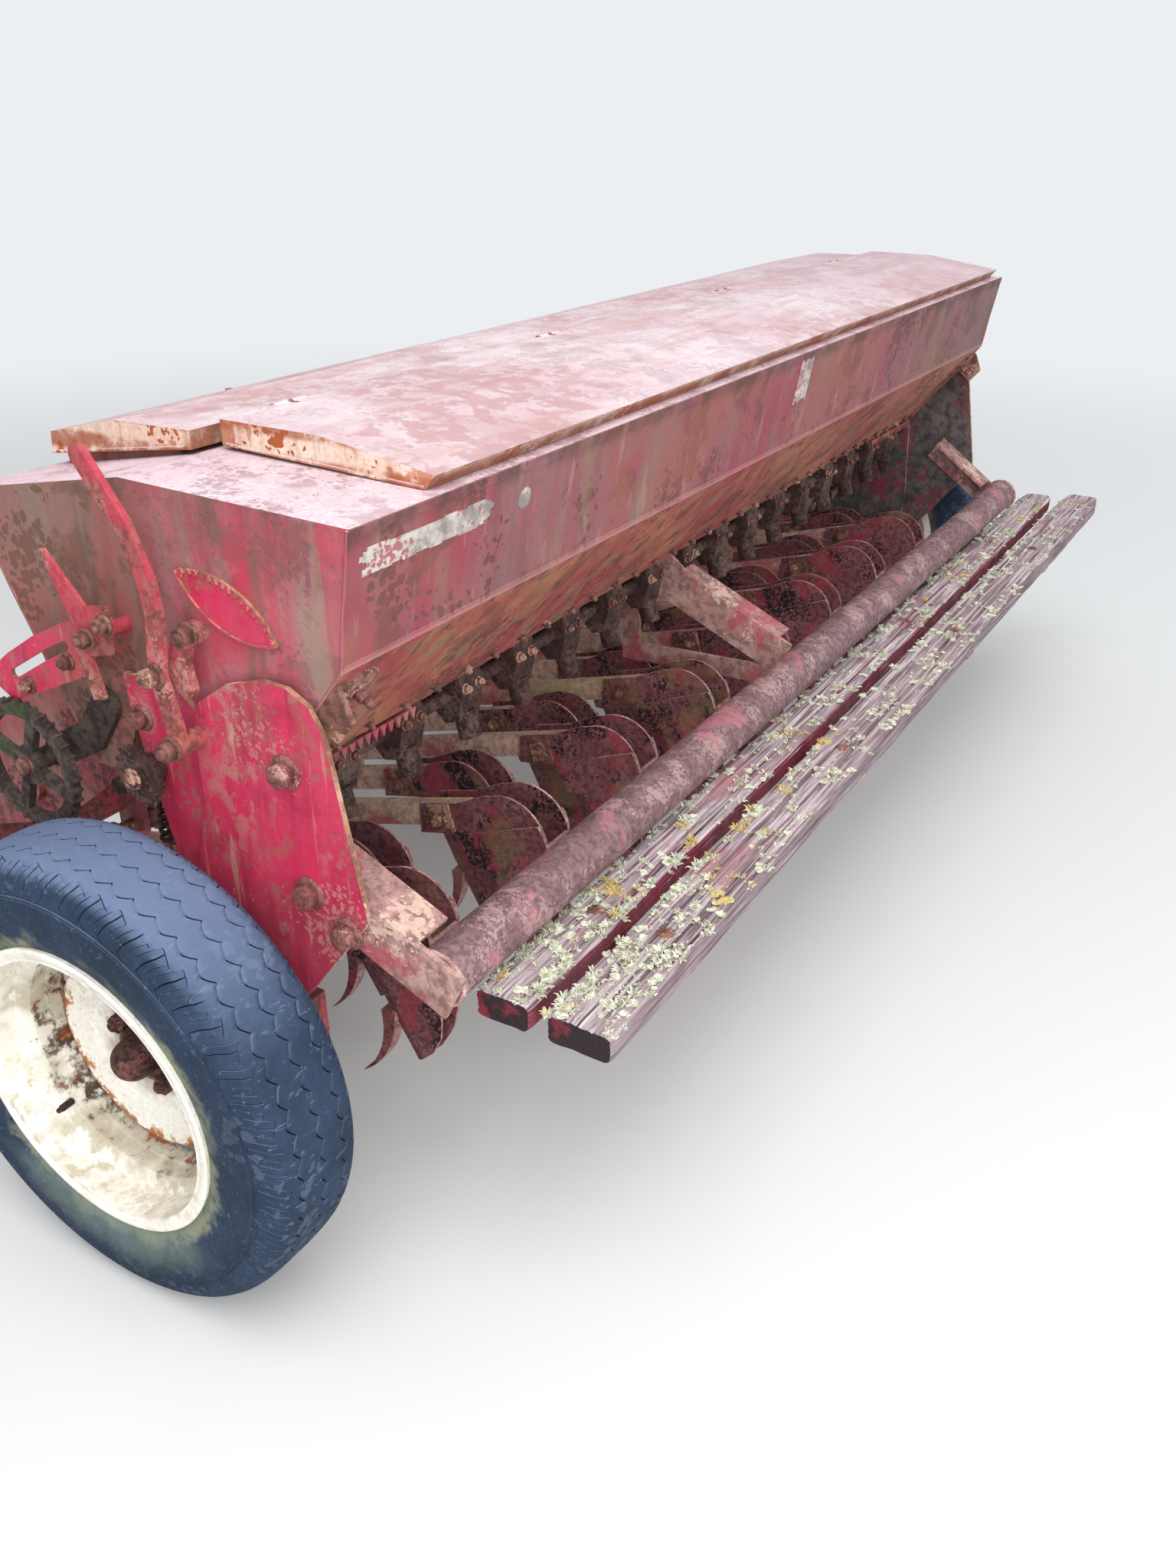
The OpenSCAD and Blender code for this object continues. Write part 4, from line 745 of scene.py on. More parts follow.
def pick_faces(piece, wanted):
    """Enters edit mode with only the faces selected for which wanted(centre, normal) is true."""
    work_on(piece)
    bpy.ops.object.mode_set(mode="EDIT")
    bpy.ops.mesh.select_mode(type="FACE")
    bpy.ops.mesh.select_all(action="DESELECT")
    bpy.ops.object.mode_set(mode="OBJECT")
    for face in piece.data.polygons:
        face.select = wanted(face.center, face.normal)
    bpy.ops.object.mode_set(mode="EDIT")


def pick_all(piece):
    work_on(piece)
    bpy.ops.object.mode_set(mode="EDIT")
    bpy.ops.mesh.select_all(action="SELECT")


def looks_up(centre, face_normal):
    return face_normal.z > 0.9


def cut_long_edges(piece, least, cuts):
    """Cuts each edge that is longer than a given length into even steps."""
    pick_all(piece)
    bpy.ops.mesh.select_mode(type="EDGE")
    bpy.ops.mesh.select_all(action="DESELECT")
    bpy.ops.object.mode_set(mode="OBJECT")
    for edge in piece.data.edges:
        a, b = (piece.data.vertices[v].co for v in edge.vertices)
        edge.select = (a - b).length > least
    bpy.ops.object.mode_set(mode="EDIT")
    bpy.ops.mesh.subdivide(number_cuts=cuts)
    bpy.ops.object.mode_set(mode="OBJECT")


def smooth(piece, degrees=180):
    work_on(piece)
    bpy.ops.object.shade_smooth_by_angle(angle=math.radians(degrees))
    return piece


def points_of(piece):
    points = np.empty(len(piece.data.vertices) * 3)
    piece.data.vertices.foreach_get("co", points)
    return points.reshape(-1, 3)


def cylinder(sides, radius, depth, middle=(0, 0, 0), **settings):
    """A cylinder along Z, or turned by its settings, with its place in its mesh."""
    clear()
    bpy.ops.mesh.primitive_cylinder_add(vertices=sides, radius=radius, depth=depth, location=middle,
                                        **settings)
    return apply_place(bpy.context.object)


def merge(pieces):
    work_on(pieces[0])
    for piece in pieces[1:]:
        piece.select_set(True)
    bpy.ops.object.join()
    return pieces[0]


def apply_place(piece):
    work_on(piece)
    bpy.ops.object.transform_apply(location=True, rotation=True, scale=True)
    return piece


def modify(piece, kind, **settings):
    """Gives a piece one modifier and applies it."""
    work_on(piece)
    modifier = piece.modifiers.new("change", kind)
    for key, value in settings.items():
        setattr(modifier, key, value)
    bpy.ops.object.modifier_apply(modifier="change")
    return piece


def copies(model, places, name):
    """One object made of copies of a model, one at each matrix; the model itself goes."""
    apply_place(model)
    count = len(model.data.vertices)
    points = np.c_[points_of(model), np.ones(count)]
    faces = [tuple(face.vertices) for face in model.data.polygons]
    is_smooth = [face.use_smooth for face in model.data.polygons]
    all_points = []
    all_faces = []
    for turn, place in enumerate(places):
        all_points.extend((points @ np.array(place).T)[:, :3].tolist())
        all_faces.extend(tuple(v + turn * count for v in face) for face in faces)
    mesh = bpy.data.meshes.new(name)
    mesh.from_pydata(all_points, [], all_faces)
    mesh.polygons.foreach_set("use_smooth", is_smooth * len(places))
    made = bpy.data.objects.new(name, mesh)
    bpy.context.scene.collection.objects.link(made)
    bpy.data.objects.remove(model)
    return made


def complete(piece, name, material, body):
    """Names a piece, gives it its finish and lets it ride."""
    apply_place(piece)
    piece.name = name
    piece.data.name = name
    piece.data.materials.clear()
    piece.data.materials.append(material)
    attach(piece, body)
    print(f"{name}: {len(piece.data.polygons)} faces on {body}")
    return piece


def scatter(name, model, places, material, body="base"):
    """A finished piece made of copies of a model."""
    return complete(copies(model, places, name), name, material, body)


def pointing(position, direction, spin=0.0):
    """A matrix that stands a model, drawn along Z, at a position along a direction."""
    turn = Vector(direction).to_track_quat("Z", "Y").to_matrix().to_4x4()
    return Matrix.Translation(position) @ turn @ Matrix.Rotation(spin, 4, "Z")


def mirrored(position):
    """The same place at the other end of the hopper."""
    return Vector((2 * (LEFT_END + HOPPER_L / 2) / 1000 - position.x, position.y, position.z))


print("modelling helpers ready")

# %% [markdown]
# The tyre is the nearest piece, so its tread is real geometry. A tyre is a turned body: its section is
# drawn once and spun about the axle. The old tread has three rows of zigzag cuts. One stroke of each
# zigzag is still open and deep, darkened by painted shade, and the way back is worn to a dusty line. The
# spin's steps are shared out unevenly over each of the sixty pitches, close together where something narrow
# is cut.

# %% Tyre section
TREAD_PITCHES = 60
PHASES = np.array([0, 0.012, 0.1, 0.2, 0.3, 0.322, 0.344, 0.38, 0.42, 0.5, 0.58, 0.64, 0.655, 0.685, 0.7, 0.8,
                   0.9, 0.988])
STROKE = 0.42
ZIGZAG_ROWS = [-0.0395, 0.0, 0.0395]
ZIGZAG_SWING = 0.0054
HAIR_ROW = 0.0605
HAIR_SWING = 0.0055
GROOVE_HALF = 0.0012
GROOVE_DEPTH = 0.0044
HAIR_DEPTH = 0.0014
LUG_DEPTH = 0.0058
SIPE_DEPTH = 0.0016
# From the bead outwards and up to the shoulder: distance from the tyre's middle, radius.
SIDEWALL = [(0.0702, 0.204), (0.0702, 0.2185), (0.0725, 0.2232), (0.0745, 0.2262), (0.0762, 0.234),
            (0.0785, 0.246), (0.0812, 0.258), (0.083, 0.270), (0.0833, 0.281), (0.0829, 0.2905)]
RINGS = [(0.0826, 0.2935), (0.0832, 0.2944), (0.0832, 0.2954), (0.0823, 0.2964), (0.0818, 0.2995),
         (0.0806, 0.3005), (0.0806, 0.302), (0.0813, 0.3032)]
SHOULDER = [(0.0804, 0.309), (0.0792, 0.3135), (0.078, 0.3178), (0.0764, 0.3222), (0.0742, 0.3266),
            (0.0714, 0.3308), (0.0682, 0.3342)]
CROWN = [(0, 0.345), (0.02, 0.34485), (0.03, 0.3445), (0.04, 0.3438), (0.05, 0.3426), (0.058, 0.3405),
         (0.0615, 0.3387), (0.0648, 0.3368), (0.0682, 0.3342), (0.0714, 0.3308)]


def crown(w):
    """The tread's radius at a distance from the tyre's middle."""
    return np.interp(np.abs(w), [p[0] for p in CROWN], [p[1] for p in CROWN])


def beside_the_bead(w, r):
    """The inner wall lies closer to the middle near its bead, as the rim is narrower there."""
    return -w + 0.013 * min(1, max(0, (0.26 - r) / 0.036)), r


tread = [-0.0525, -0.02, 0.02, 0.0525]
for row in ZIGZAG_ROWS:
    tread += [row + side * gap for side in (-1, 1) for gap in (0.0075, GROOVE_HALF, GROOVE_HALF * 0.4)]
for row in (-HAIR_ROW, HAIR_ROW):
    tread += [row - 0.0007, row, row + 0.0007]
outer_wall = SIDEWALL + RINGS + SHOULDER
inner_wall = [beside_the_bead(w, r) for w, r in SIDEWALL + SHOULDER]
section = outer_wall + [(w, crown(w)) for w in sorted(tread, reverse=True)] + inner_wall[::-1]
print("points in the tyre's section:", len(section))

# %% Spin the tyre


def spun(name, outline, steps):
    """A turned body about the X axis through the origin, its closed section in the XZ plane."""
    clear()
    bpy.ops.mesh.primitive_circle_add(vertices=len(outline), radius=0.1)
    piece = bpy.context.object
    for vertex, (w, r) in zip(piece.data.vertices, outline):
        vertex.co = (w, 0, r)
    pick_all(piece)
    bpy.ops.mesh.spin(steps=steps, angle=2 * math.pi, center=(0, 0, 0), axis=(1, 0, 0))
    bpy.ops.mesh.select_all(action="SELECT")
    bpy.ops.mesh.remove_doubles(threshold=0.00002)
    bpy.ops.mesh.normals_make_consistent(inside=False)
    bpy.ops.object.mode_set(mode="OBJECT")
    piece.name = name
    return piece


def zigzag(phase):
    """From one to minus one along the open stroke, and back along the worn one."""
    open_share = np.clip(phase / STROKE, 0, 1)
    back_share = np.clip((phase - STROKE) / (1 - STROKE), 0, 1)
    return 1 - 2 * open_share ** 1.4 + 2 * back_share ** 0.75


def hairline(phase):
    """A fine cut that runs the other way, from just after the stroke to the next one."""
    return np.interp((phase - 0.47) % 1, [0, 0.71, 1], [-1, 1, -1])


def cut_tread(piece):
    """Swings and presses in the points of the grooves, and keeps how deep each one is, for the painted shade
    in it, and how filled it is.
    """
    points = points_of(piece)
    w = points[:, 0].copy()
    r = np.hypot(points[:, 1], points[:, 2])
    steps = len(PHASES)
    turn = np.round(np.arctan2(points[:, 1], points[:, 2]) / (2 * np.pi) * TREAD_PITCHES * steps).astype(int)
    turn = turn % (TREAD_PITCHES * steps)
    pitch = turn // steps
    phase = PHASES[turn % steps]
    angle = (pitch + phase) / TREAD_PITCHES * 2 * np.pi
    wear = np.array([[noise.noise(Vector((p * 0.9, row * 7.3, 4))) for p in range(TREAD_PITCHES)]
                     for row in range(4)])
    on_tread = (np.abs(w) < 0.0665) & (r > 0.32)
    share = np.clip((0.0605 - np.abs(w)) / (0.0605 - 0.047), 0, 1)
    swing = ZIGZAG_SWING * zigzag(phase) * share + np.sign(w) * HAIR_SWING * hairline(phase) * (1 - share)
    depth = np.zeros(len(w))
    filled = np.zeros(len(w))
    stroke = np.interp(phase, [0, 0.02, 0.36, 0.42, 0.45, 0.97, 1], [0.7, 1, 1, 0.6, 0.1, 0.1, 0.7])
    for i, row in enumerate(ZIGZAG_ROWS):
        in_groove = on_tread & (np.abs(w - row) < GROOVE_HALF * 0.7)
        left_open = np.clip(0.95 + 1.2 * wear[i, pitch], 0.4, 1.1)
        depth[in_groove] = (GROOVE_DEPTH * stroke * left_open)[in_groove]
        dusty = np.where(stroke < 0.5, 0.9, 0) * np.clip(0.6 + 2 * wear[i, pitch], 0, 1)
        filled[in_groove] = dusty[in_groove]
    in_hairline = on_tread & (np.abs(np.abs(w) - HAIR_ROW) < 0.0003) & ((phase - 0.47) % 1 < 0.7)
    depth[in_hairline] = (HAIR_DEPTH * np.clip(0.6 + 2 * wear[3, pitch], 0, 1))[in_hairline]
    shoulder = (r > 0.3045) & (np.abs(w) > 0.0675)
    lug = np.interp(phase, [0.64, 0.655, 0.685, 0.7], [0, LUG_DEPTH, LUG_DEPTH, 0])
    reach = np.interp(r, [0.304, 0.309, 0.318, 0.326, 0.3345], [0, 0.3, 0.45, 1, 1])
    sipe = np.where((turn % steps == 0) | (turn % steps == 5), SIPE_DEPTH, 0) * (r > 0.32)
    depth[shoulder] = np.maximum(lug * reach, sipe)[shoulder]
    lean = np.where(r > 0.3045, np.clip((np.abs(w) - 0.064) / 0.017, 0, 1) * -0.42, 0)
    angle = angle + lean * 2 * np.pi / TREAD_PITCHES
    worn = np.array([noise.noise(Vector((x * 9, y * 9, z * 9))) for x, y, z in points]) * 0.0006
    w_new = np.where(on_tread, w + swing, w)
    r_new = np.where(on_tread, crown(w_new), r) - depth * np.where(shoulder, 0.75, 1.0) + worn
    w_new = np.where(shoulder, w_new - np.sign(w) * depth * 0.6, w_new)
    made = np.c_[w_new, r_new * np.sin(angle), r_new * np.cos(angle)]
    piece.data.vertices.foreach_set("co", made.ravel())
    # The depth of each groove is stored for the rubber to darken as painted shade; the filled share is dust.
    for label, values in (("groove_shade", np.clip(depth / 0.0030, 0, 1)), ("filled_groove", filled)):
        mark = piece.data.attributes.new(label, "FLOAT", "POINT")
        mark.data.foreach_set("value", values)
    piece.data.update()
    return smooth(piece, 38)


TYRE_MIDDLE = 68 + 167 / 2
left_tyre = cut_tread(spun("tread_left", section, TREAD_PITCHES * len(PHASES)))
right_tyre = left_tyre.copy()
right_tyre.data = left_tyre.data.copy()
bpy.context.scene.collection.objects.link(right_tyre)
left_tyre.rotation_euler = (0, 0, math.pi)
left_tyre.location = spot(-TYRE_MIDDLE, AXLE_Y, AXLE_Z)
right_tyre.location = mirrored(left_tyre.location)
for side, piece in (("left", left_tyre), ("right", right_tyre)):
    complete(piece, "tread_" + side, grey_rubber, "wheel_" + side)
    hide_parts("tyre_" + side)

# %% [markdown]
# The rim's edge is rolled outwards. A narrow turned ring, flared towards its outside, lies on the flat
# flange of the solid rim and gives it that curve.

# %% Rolled rim edges
# Distance from the hopper's end, radius, both in metres.
FLARE = [(0.2259, 0.2035), (0.2268, 0.2055), (0.2284, 0.2095), (0.2296, 0.2135), (0.2298, 0.2165),
         (0.229, 0.2187), (0.2273, 0.2195), (0.2259, 0.2186)]
for side, direction in (("left", -1), ("right", 1)):
    ring = smooth(spun("flare", [(direction * w, r) for w, r in FLARE], 144), 50)
    ring.location = spot(0 if side == "left" else HOPPER_L, AXLE_Y, AXLE_Z)
    complete(ring, "rim_edge_" + side, rim_enamel, "wheel_" + side)

# %% [markdown]
# Bolts: one hexagon head on a washer, with its corners broken, is modelled once for each size. Copies
# are turned at random about their own axes, because nobody lines bolt heads up.

# %% A bolt


def bolt(across, head, washer_r=None, washer_t=0.003, stub=0.0):
    """A hexagon head on a washer, standing along Z, with an end of thread if it is asked for."""
    washer_r = washer_r or across * 0.82
    hexagon = cylinder(6, across / math.sqrt(3), head, (0, 0, washer_t + head / 2))
    pick_faces(hexagon, looks_up)
    bpy.ops.mesh.bevel(offset=across * 0.09, segments=2, profile=0.6)
    washer = cylinder(24, washer_r, washer_t, (0, 0, washer_t / 2))
    pick_faces(washer, looks_up)
    bpy.ops.mesh.bevel(offset=washer_t * 0.35, segments=1)
    parts = [hexagon, washer]
    if stub:
        thread = cylinder(14, across * 0.31, stub + head, (0, 0, washer_t + (stub + head) / 2))
        pick_faces(thread, looks_up)
        bpy.ops.mesh.bevel(offset=across * 0.06, segments=1)
        parts.append(thread)
    return smooth(merge(parts), 30)


chance = random.Random(7)


def bolts_at(name, model, positions, direction):
    """Copies of a bolt at places of the left end and, mirrored, of the right end."""
    other = Vector((-direction[0], direction[1], direction[2]))
    places = []
    for position in positions:
        places.append(pointing(position, direction, chance.uniform(0, 6.28)))
        places.append(pointing(mirrored(position), other, chance.uniform(0, 6.28)))
    return scatter(name, model, places, bolt_steel)


# %% Bolts of the end plates
OUTWARDS = Vector((-1, 0, 0))
rear_plate_bolts = [spot(-16, 118, 789), spot(-16, 101, 622), spot(-16, 44, 580)]
front_plate_bolts = [spot(-8, 370, 798), spot(-8, 216, 500), spot(-8, 420, 400), spot(-8, 460, 330)]
bolts_at("end_plate_bolts", bolt(0.03, 0.017, 0.023), rear_plate_bolts, OUTWARDS)
bolts_at("front_plate_bolts", bolt(0.022, 0.012), front_plate_bolts, OUTWARDS)
funnel_down = Vector((0, -0.7717, -0.636))
funnel_bolt_places = [spot(along, 56.6, 883.3) for along in (20, 55)]
bolts_at("funnel_bolts", bolt(0.019, 0.012, 0.015, stub=0.014), funnel_bolt_places, funnel_down)

# %% [markdown]
# The near wheel shows three nuts and two bare studs around the cap; the other wheel is fitted fully.

# %% Wheel nuts
STUD_CIRCLE = 55
DISC_FACE = 128


def around_axle(angle, along=-DISC_FACE, radius=STUD_CIRCLE):
    turned = math.radians(angle)
    return spot(along, AXLE_Y + radius * math.cos(turned), AXLE_Z + radius * math.sin(turned))


STUD_ANGLES = (65, 137, 209, 281, 353)
near_nuts = [pointing(around_axle(a), OUTWARDS, chance.uniform(0, 6)) for a in STUD_ANGLES[:3]]
far_nuts = [pointing(mirrored(around_axle(a)), -OUTWARDS, chance.uniform(0, 6)) for a in STUD_ANGLES]
for side, places in (("left", near_nuts), ("right", far_nuts)):
    nut = bolt(0.024, 0.016, 0.016, 0.004, 0.006)
    scatter("wheel_nuts_" + side, nut, places, hub_iron, "wheel_" + side)

# %% [markdown]
# Each boot is clamped to its arm by a bolt through a small plate on the neck. The boots stand in two
# rows; the front row is a row step forward and that much down the slope of the arms.

# %% Boot clamps
PIVOT_Y = 950
PIVOT_Z = 272
ARM_SLOPE = math.radians(15.5)
ROW_STEP = 200


def arm_z(y):
    return PIVOT_Z + (PIVOT_Y - y) * math.tan(ARM_SLOPE)


REAR_BOOT_Y = 246
PLATE_OUT = 27.3
RUN_PLACES = [HOPPER_L / 2 + (i - 7.5) * 150 for i in range(16)]
clear()
bpy.ops.mesh.primitive_cube_add(size=1, location=(0, 0, 0.0015), scale=(0.046, 0.05, 0.003))
clamp_plate = apply_place(bpy.context.object)
pick_faces(clamp_plate, looks_up)
bpy.ops.mesh.bevel(offset=0.002, segments=2)
clamp_bolt = bolt(0.019, 0.011, 0.013, 0.003, 0.008)
clamp_bolt.location.z = 0.003
clamp = merge([clamp_plate, apply_place(clamp_bolt)])
clamp_places = []
for i, along in enumerate(RUN_PLACES):
    y = REAR_BOOT_Y + (ROW_STEP if i % 2 else 0)
    for side in (-1, 1):
        place = spot(along + side * PLATE_OUT, y, arm_z(y))
        clamp_places.append(pointing(place, (side, 0, 0), -side * ARM_SLOPE))
scatter("boot_clamps", clamp, clamp_places, brown_steel, "coulters")

# %% [markdown]
# The pressure springs of the solids are stacks of rings. Here each is a true coil, made by the Screw
# modifier from a small circle of wire.

# %% Coil springs
WIRE = 0.007
COIL_R = 0.0145
TURN_PITCH = 0.014175
clear()
bpy.ops.mesh.primitive_circle_add(vertices=8, radius=WIRE / 2, location=(COIL_R, 0, 0),
                                  rotation=(math.pi / 2, 0, 0), fill_type="NOTHING")
coil = apply_place(bpy.context.object)
modify(coil, "SCREW", screw_offset=TURN_PITCH, iterations=8, steps=18, render_steps=18)
pick_all(coil)
bpy.ops.mesh.fill_holes(sides=0)
bpy.ops.mesh.normals_make_consistent(inside=False)
clear()
rod_up = Vector((0, -0.1003, 0.99496))
SPRING_FOOT = (576.6, 465.2)
coil_places = [pointing(spot(along, *SPRING_FOOT), rod_up, 0.7 * i) for i, along in enumerate(RUN_PLACES)]
coils = scatter("coil_springs", smooth(coil), coil_places, dark_steel, "rods")
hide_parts("springs")

# %% [markdown]
# The planks have weathered for decades: the soft wood between the grain has washed out, the edges are
# rounded and ragged, and long checks have opened. A cylinder is reshaped into a rounded box, cut into
# many steps along its length, and every point is then moved by noise drawn out along the grain.

# %% Plank body
RING = 200
PLANK_FROM = 60
PLANK_TOP = 500
PLANK_THICK = 44


def plank_body(y_low, y_high, length, seed):
    half_w = (y_high - y_low) / 2000
    half_t = PLANK_THICK / 2000
    piece = cylinder(RING, 0.03, length / 1000, rotation=(0, math.pi / 2, 0), end_fill_type="NGON")
    for cuts in (15, 17):
        cut_long_edges(piece, 0.1, cuts)
    walk = rounded_box(half_w, half_t, 0.009, RING)
    points = points_of(piece)
    around = np.arctan2(points[:, 2], points[:, 1]) / (2 * np.pi) * RING
    moved = [weathered(x, y, z, half_w, half_t, length / 2000, seed)
             for x, (y, z) in zip(points[:, 0], walk[np.round(around).astype(int) % RING])]
    middle = spot(PLANK_FROM + length / 2, (y_low + y_high) / 2, PLANK_TOP - PLANK_THICK / 2)
    piece.data.vertices.foreach_set("co", (np.array(moved) + np.array(middle)).ravel())
    piece.data.update()
    pick_all(piece)
    bpy.ops.mesh.normals_make_consistent(inside=False)
    return smooth(piece, 50)


def rounded_box(half_w, half_t, corner, count):
    """Points spaced evenly round a box with rounded corners, starting at +y and turning to +z."""
    outline = []
    for quarter, (side_y, side_z) in enumerate(((1, 1), (-1, 1), (-1, -1), (1, -1))):
        for k in range(7):
            a = math.radians(90 * quarter + 15 * k)
            outline.append((side_y * (half_w - corner) + corner * math.cos(a),
                            side_z * (half_t - corner) + corner * math.sin(a)))
    outline = np.array(outline + outline[:1])
    gaps = np.hypot(*np.diff(outline, axis=0).T)
    reach = np.r_[0, np.cumsum(gaps)]
    target = np.linspace(0, reach[-1], count, endpoint=False)
    return np.c_[np.interp(target, reach, outline[:, 0]), np.interp(target, reach, outline[:, 1])]


# Middle along the plank, place across it and reach of each long check, in metres.
CHECKS = [(-0.9, 0.012, 0.5), (-0.2, -0.016, 0.7), (0.75, 0.02, 0.45), (0.35, -0.004, 0.35),
          (-1.15, -0.02, 0.3)]


def weathered(x, y, z, half_w, half_t, half_l, seed):
    """Moves one point of a plank: ragged edges, washed-out grain, checks and worn ends."""
    side = Vector((x * 1.7 + seed, y * 4, z * 4))
    ragged = noise.noise(side * 1.4) * 0.0022 + noise.noise(Vector((x * 14 + seed, y * 9, z * 9))) * 0.0012
    grain = noise.noise(Vector((x * 6 + seed, y * 210, z * 210)))
    fine = noise.noise(Vector((x * 19 + seed * 3, y * 420, z * 420)))
    hollow = 0.0016 * grain + 0.0009 * fine
    edge_y = y / half_w
    y_new = y + ragged * edge_y + hollow * edge_y * (abs(edge_y) > 0.95)
    z_new = z
    if z > half_t * 0.75:
        z_new = z - 0.001 + hollow
        for centre, line, reach in CHECKS:
            drift = line + 0.004 * noise.noise(Vector((x * 2.2, line * 50 + seed, 0)))
            gap = abs(y - drift)
            span = max(0.0, 1 - abs(x - centre) / reach)
            if gap < 0.0032 and span > 0:
                z_new -= 0.006 * min(1, span * 3) * (1 - gap / 0.0032)
        worn = max(0.0, 1 - (half_w - abs(y)) / 0.02)
        z_new -= 0.0012 * worn * (1 + noise.noise(Vector((x * 8, seed, y * 20))))
    from_end = half_l - abs(x)
    taper = max(0.0, 1 - from_end / 0.02)
    pull = 1 - 0.05 * taper ** 2
    fray = noise.noise(Vector((y * 60, z * 60, seed + (x > 0)))) * 0.0015 - 0.001
    x_new = x + fray * math.copysign(taper, x)
    if x > 0:
        long_taper = max(0.0, 1 - from_end / 0.09)
        pull *= 1 - 0.16 * long_taper ** 2
    return x_new, y_new * pull, z_new * (1 - 0.08 * taper ** 2)


# Name, rear and front edge, length, seed.
PLANKS = [("inner", -173, -93, 2770, 1.3), ("outer", -292, -198, 2820, 8.9)]
for label, y_low, y_high, length, seed in PLANKS:
    plank = plank_body(y_low, y_high, length, seed)
    complete(plank, "plank_" + label + "_worn", timber, "base")
    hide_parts("plank_" + label)

# %% [markdown]
# Lichen grows in tufts and crusts on top of the planks, thickest at the near ends and along the edges.
# A tuft is a handful of small curled blades. It is modelled once in three shapes and scattered by a
# seeded chance, so it falls the same way in each run.

# %% Lichen tufts


def tuft(seed, blades, height, spread):
    """Curled blades on one spot: each is a narrow strip that is extruded and bent over."""
    luck = random.Random(seed)
    parts = []
    for i in range(blades):
        clear()
        turn = luck.uniform(0, 6.28)
        lean = luck.uniform(0.1, 1.15)
        bpy.ops.mesh.primitive_cone_add(vertices=3, radius1=0.0016, radius2=0.0009, depth=height,
                                        location=(0, 0, height / 2), end_fill_type="NGON")
        blade = apply_place(bpy.context.object)
        pick_faces(blade, looks_up)
        bpy.ops.mesh.extrude_region_move(TRANSFORM_OT_translate={"value": (height * 0.4, 0, height * 0.3)})
        bpy.ops.transform.resize(value=(0.6, 0.6, 0.6))
        clear()
        blade.rotation_euler = (0, lean, turn)
        blade.location = (math.cos(turn) * spread * luck.random(),
                          math.sin(turn) * spread * luck.random(), -0.001)
        blade.scale = (luck.uniform(0.7, 1.3),) * 3
        parts.append(apply_place(blade))
    return merge(parts)


def crust(seed):
    """A flat, scalloped patch with a raised rim."""
    luck = random.Random(seed)
    clear()
    bpy.ops.mesh.primitive_circle_add(vertices=11, radius=0.009, fill_type="TRIFAN")
    patch = bpy.context.object
    for vertex in patch.data.vertices:
        vertex.co *= luck.uniform(0.65, 1.35)
        vertex.co.z = 0.0012 + luck.uniform(0, 0.0022)
    return modify(patch, "SOLIDIFY", thickness=0.0018)


LICHEN_FROM = 66
LICHEN_TO = 2780
LICHEN_FOOT = 498.4


def lichen_places(count, seed, low_y, high_y, size, gather):
    luck = random.Random(seed)
    places = []
    while len(places) < count:
        along = LICHEN_FROM + (LICHEN_TO - LICHEN_FROM) * luck.random() ** 1.25
        y = luck.uniform(low_y, high_y)
        cluster = noise.noise(Vector((along * 0.011, y * 0.03, seed)))
        from_edge = min(y - low_y, high_y - y)
        wish = cluster * gather + 0.02 + (0.25 if from_edge < 14 else 0) + (0.2 if along < 500 else 0)
        if luck.random() > wish:
            continue
        scale = size * luck.uniform(0.5, 1.35)
        sink = max(0, 5 - from_edge) * 0.9
        turned = Matrix.Rotation(luck.uniform(0, 6.28), 4, "Z") @ Matrix.Scale(scale, 4)
        places.append(Matrix.Translation(spot(along, y, LICHEN_FOOT - sink)) @ turned)
    return places


for (label, y_low, y_high, *_), seed in zip(PLANKS, (11, 29)):
    # What grows, how many, its size and how much it gathers.
    stands = [(tuft(seed, 14, 0.005, 0.007), 190, 1.0, 1.2),
              (tuft(seed + 1, 10, 0.0035, 0.005), 260, 0.9, 1.1), (crust(seed + 2), 170, 0.7, 1.2)]
    growth = [copies(model, lichen_places(count, seed + i, y_low, y_high, size, gather), "growth")
              for i, (model, count, size, gather) in enumerate(stands)]
    complete(merge(growth), "lichen_" + label, lichen_crust, "base")

# %% [markdown]
# Sheet metal ends in hems. A round bead runs along each free edge of the lids, a flat lip is folded over
# the rear panel at its top, a narrower one covers the crease at its foot, and the corners are welded.
# A bead is a cylinder cut into short steps, each nudged a little, as folding and welding leave it.

# %% Beads and lips


def bead(from_spot, to_spot, radius, wander=0.0003, step=0.03):
    """A thin, slightly uneven rod between two places."""
    reach = (to_spot - from_spot).length
    rod = cylinder(8, radius, reach)
    cut_long_edges(rod, reach / 2, max(1, int(reach / step)))
    for vertex in rod.data.vertices:
        drift = noise.noise_vector(Vector((vertex.co.z * 21, from_spot.y * 9, from_spot.z * 9))) * wander
        vertex.co += Vector((drift.x, drift.y, 0))
    smooth(rod, 50)
    rod.matrix_world = pointing((from_spot + to_spot) / 2, to_spot - from_spot)
    return apply_place(rod)


def lip(from_spot, to_spot, width, thick, outwards):
    """A flat strip between two places, lying against a sheet whose outward direction is given."""
    run = to_spot - from_spot
    clear()
    bpy.ops.mesh.primitive_cube_add(size=1, scale=(thick, width, run.length))
    strip = modify(apply_place(bpy.context.object), "BEVEL", width=thick * 0.4)
    along_axis = run.normalized()
    out_axis = Vector(outwards).normalized()
    across = along_axis.cross(out_axis)
    frame_matrix = Matrix((out_axis, across, along_axis)).transposed().to_4x4()
    strip.matrix_world = Matrix.Translation((from_spot + to_spot) / 2) @ frame_matrix
    return apply_place(strip)


PANEL_FOOT = Vector((31, 927))
PANEL_TOP = Vector((0, 1102))
PANEL_OUT = Vector((0, -0.985, -0.174))


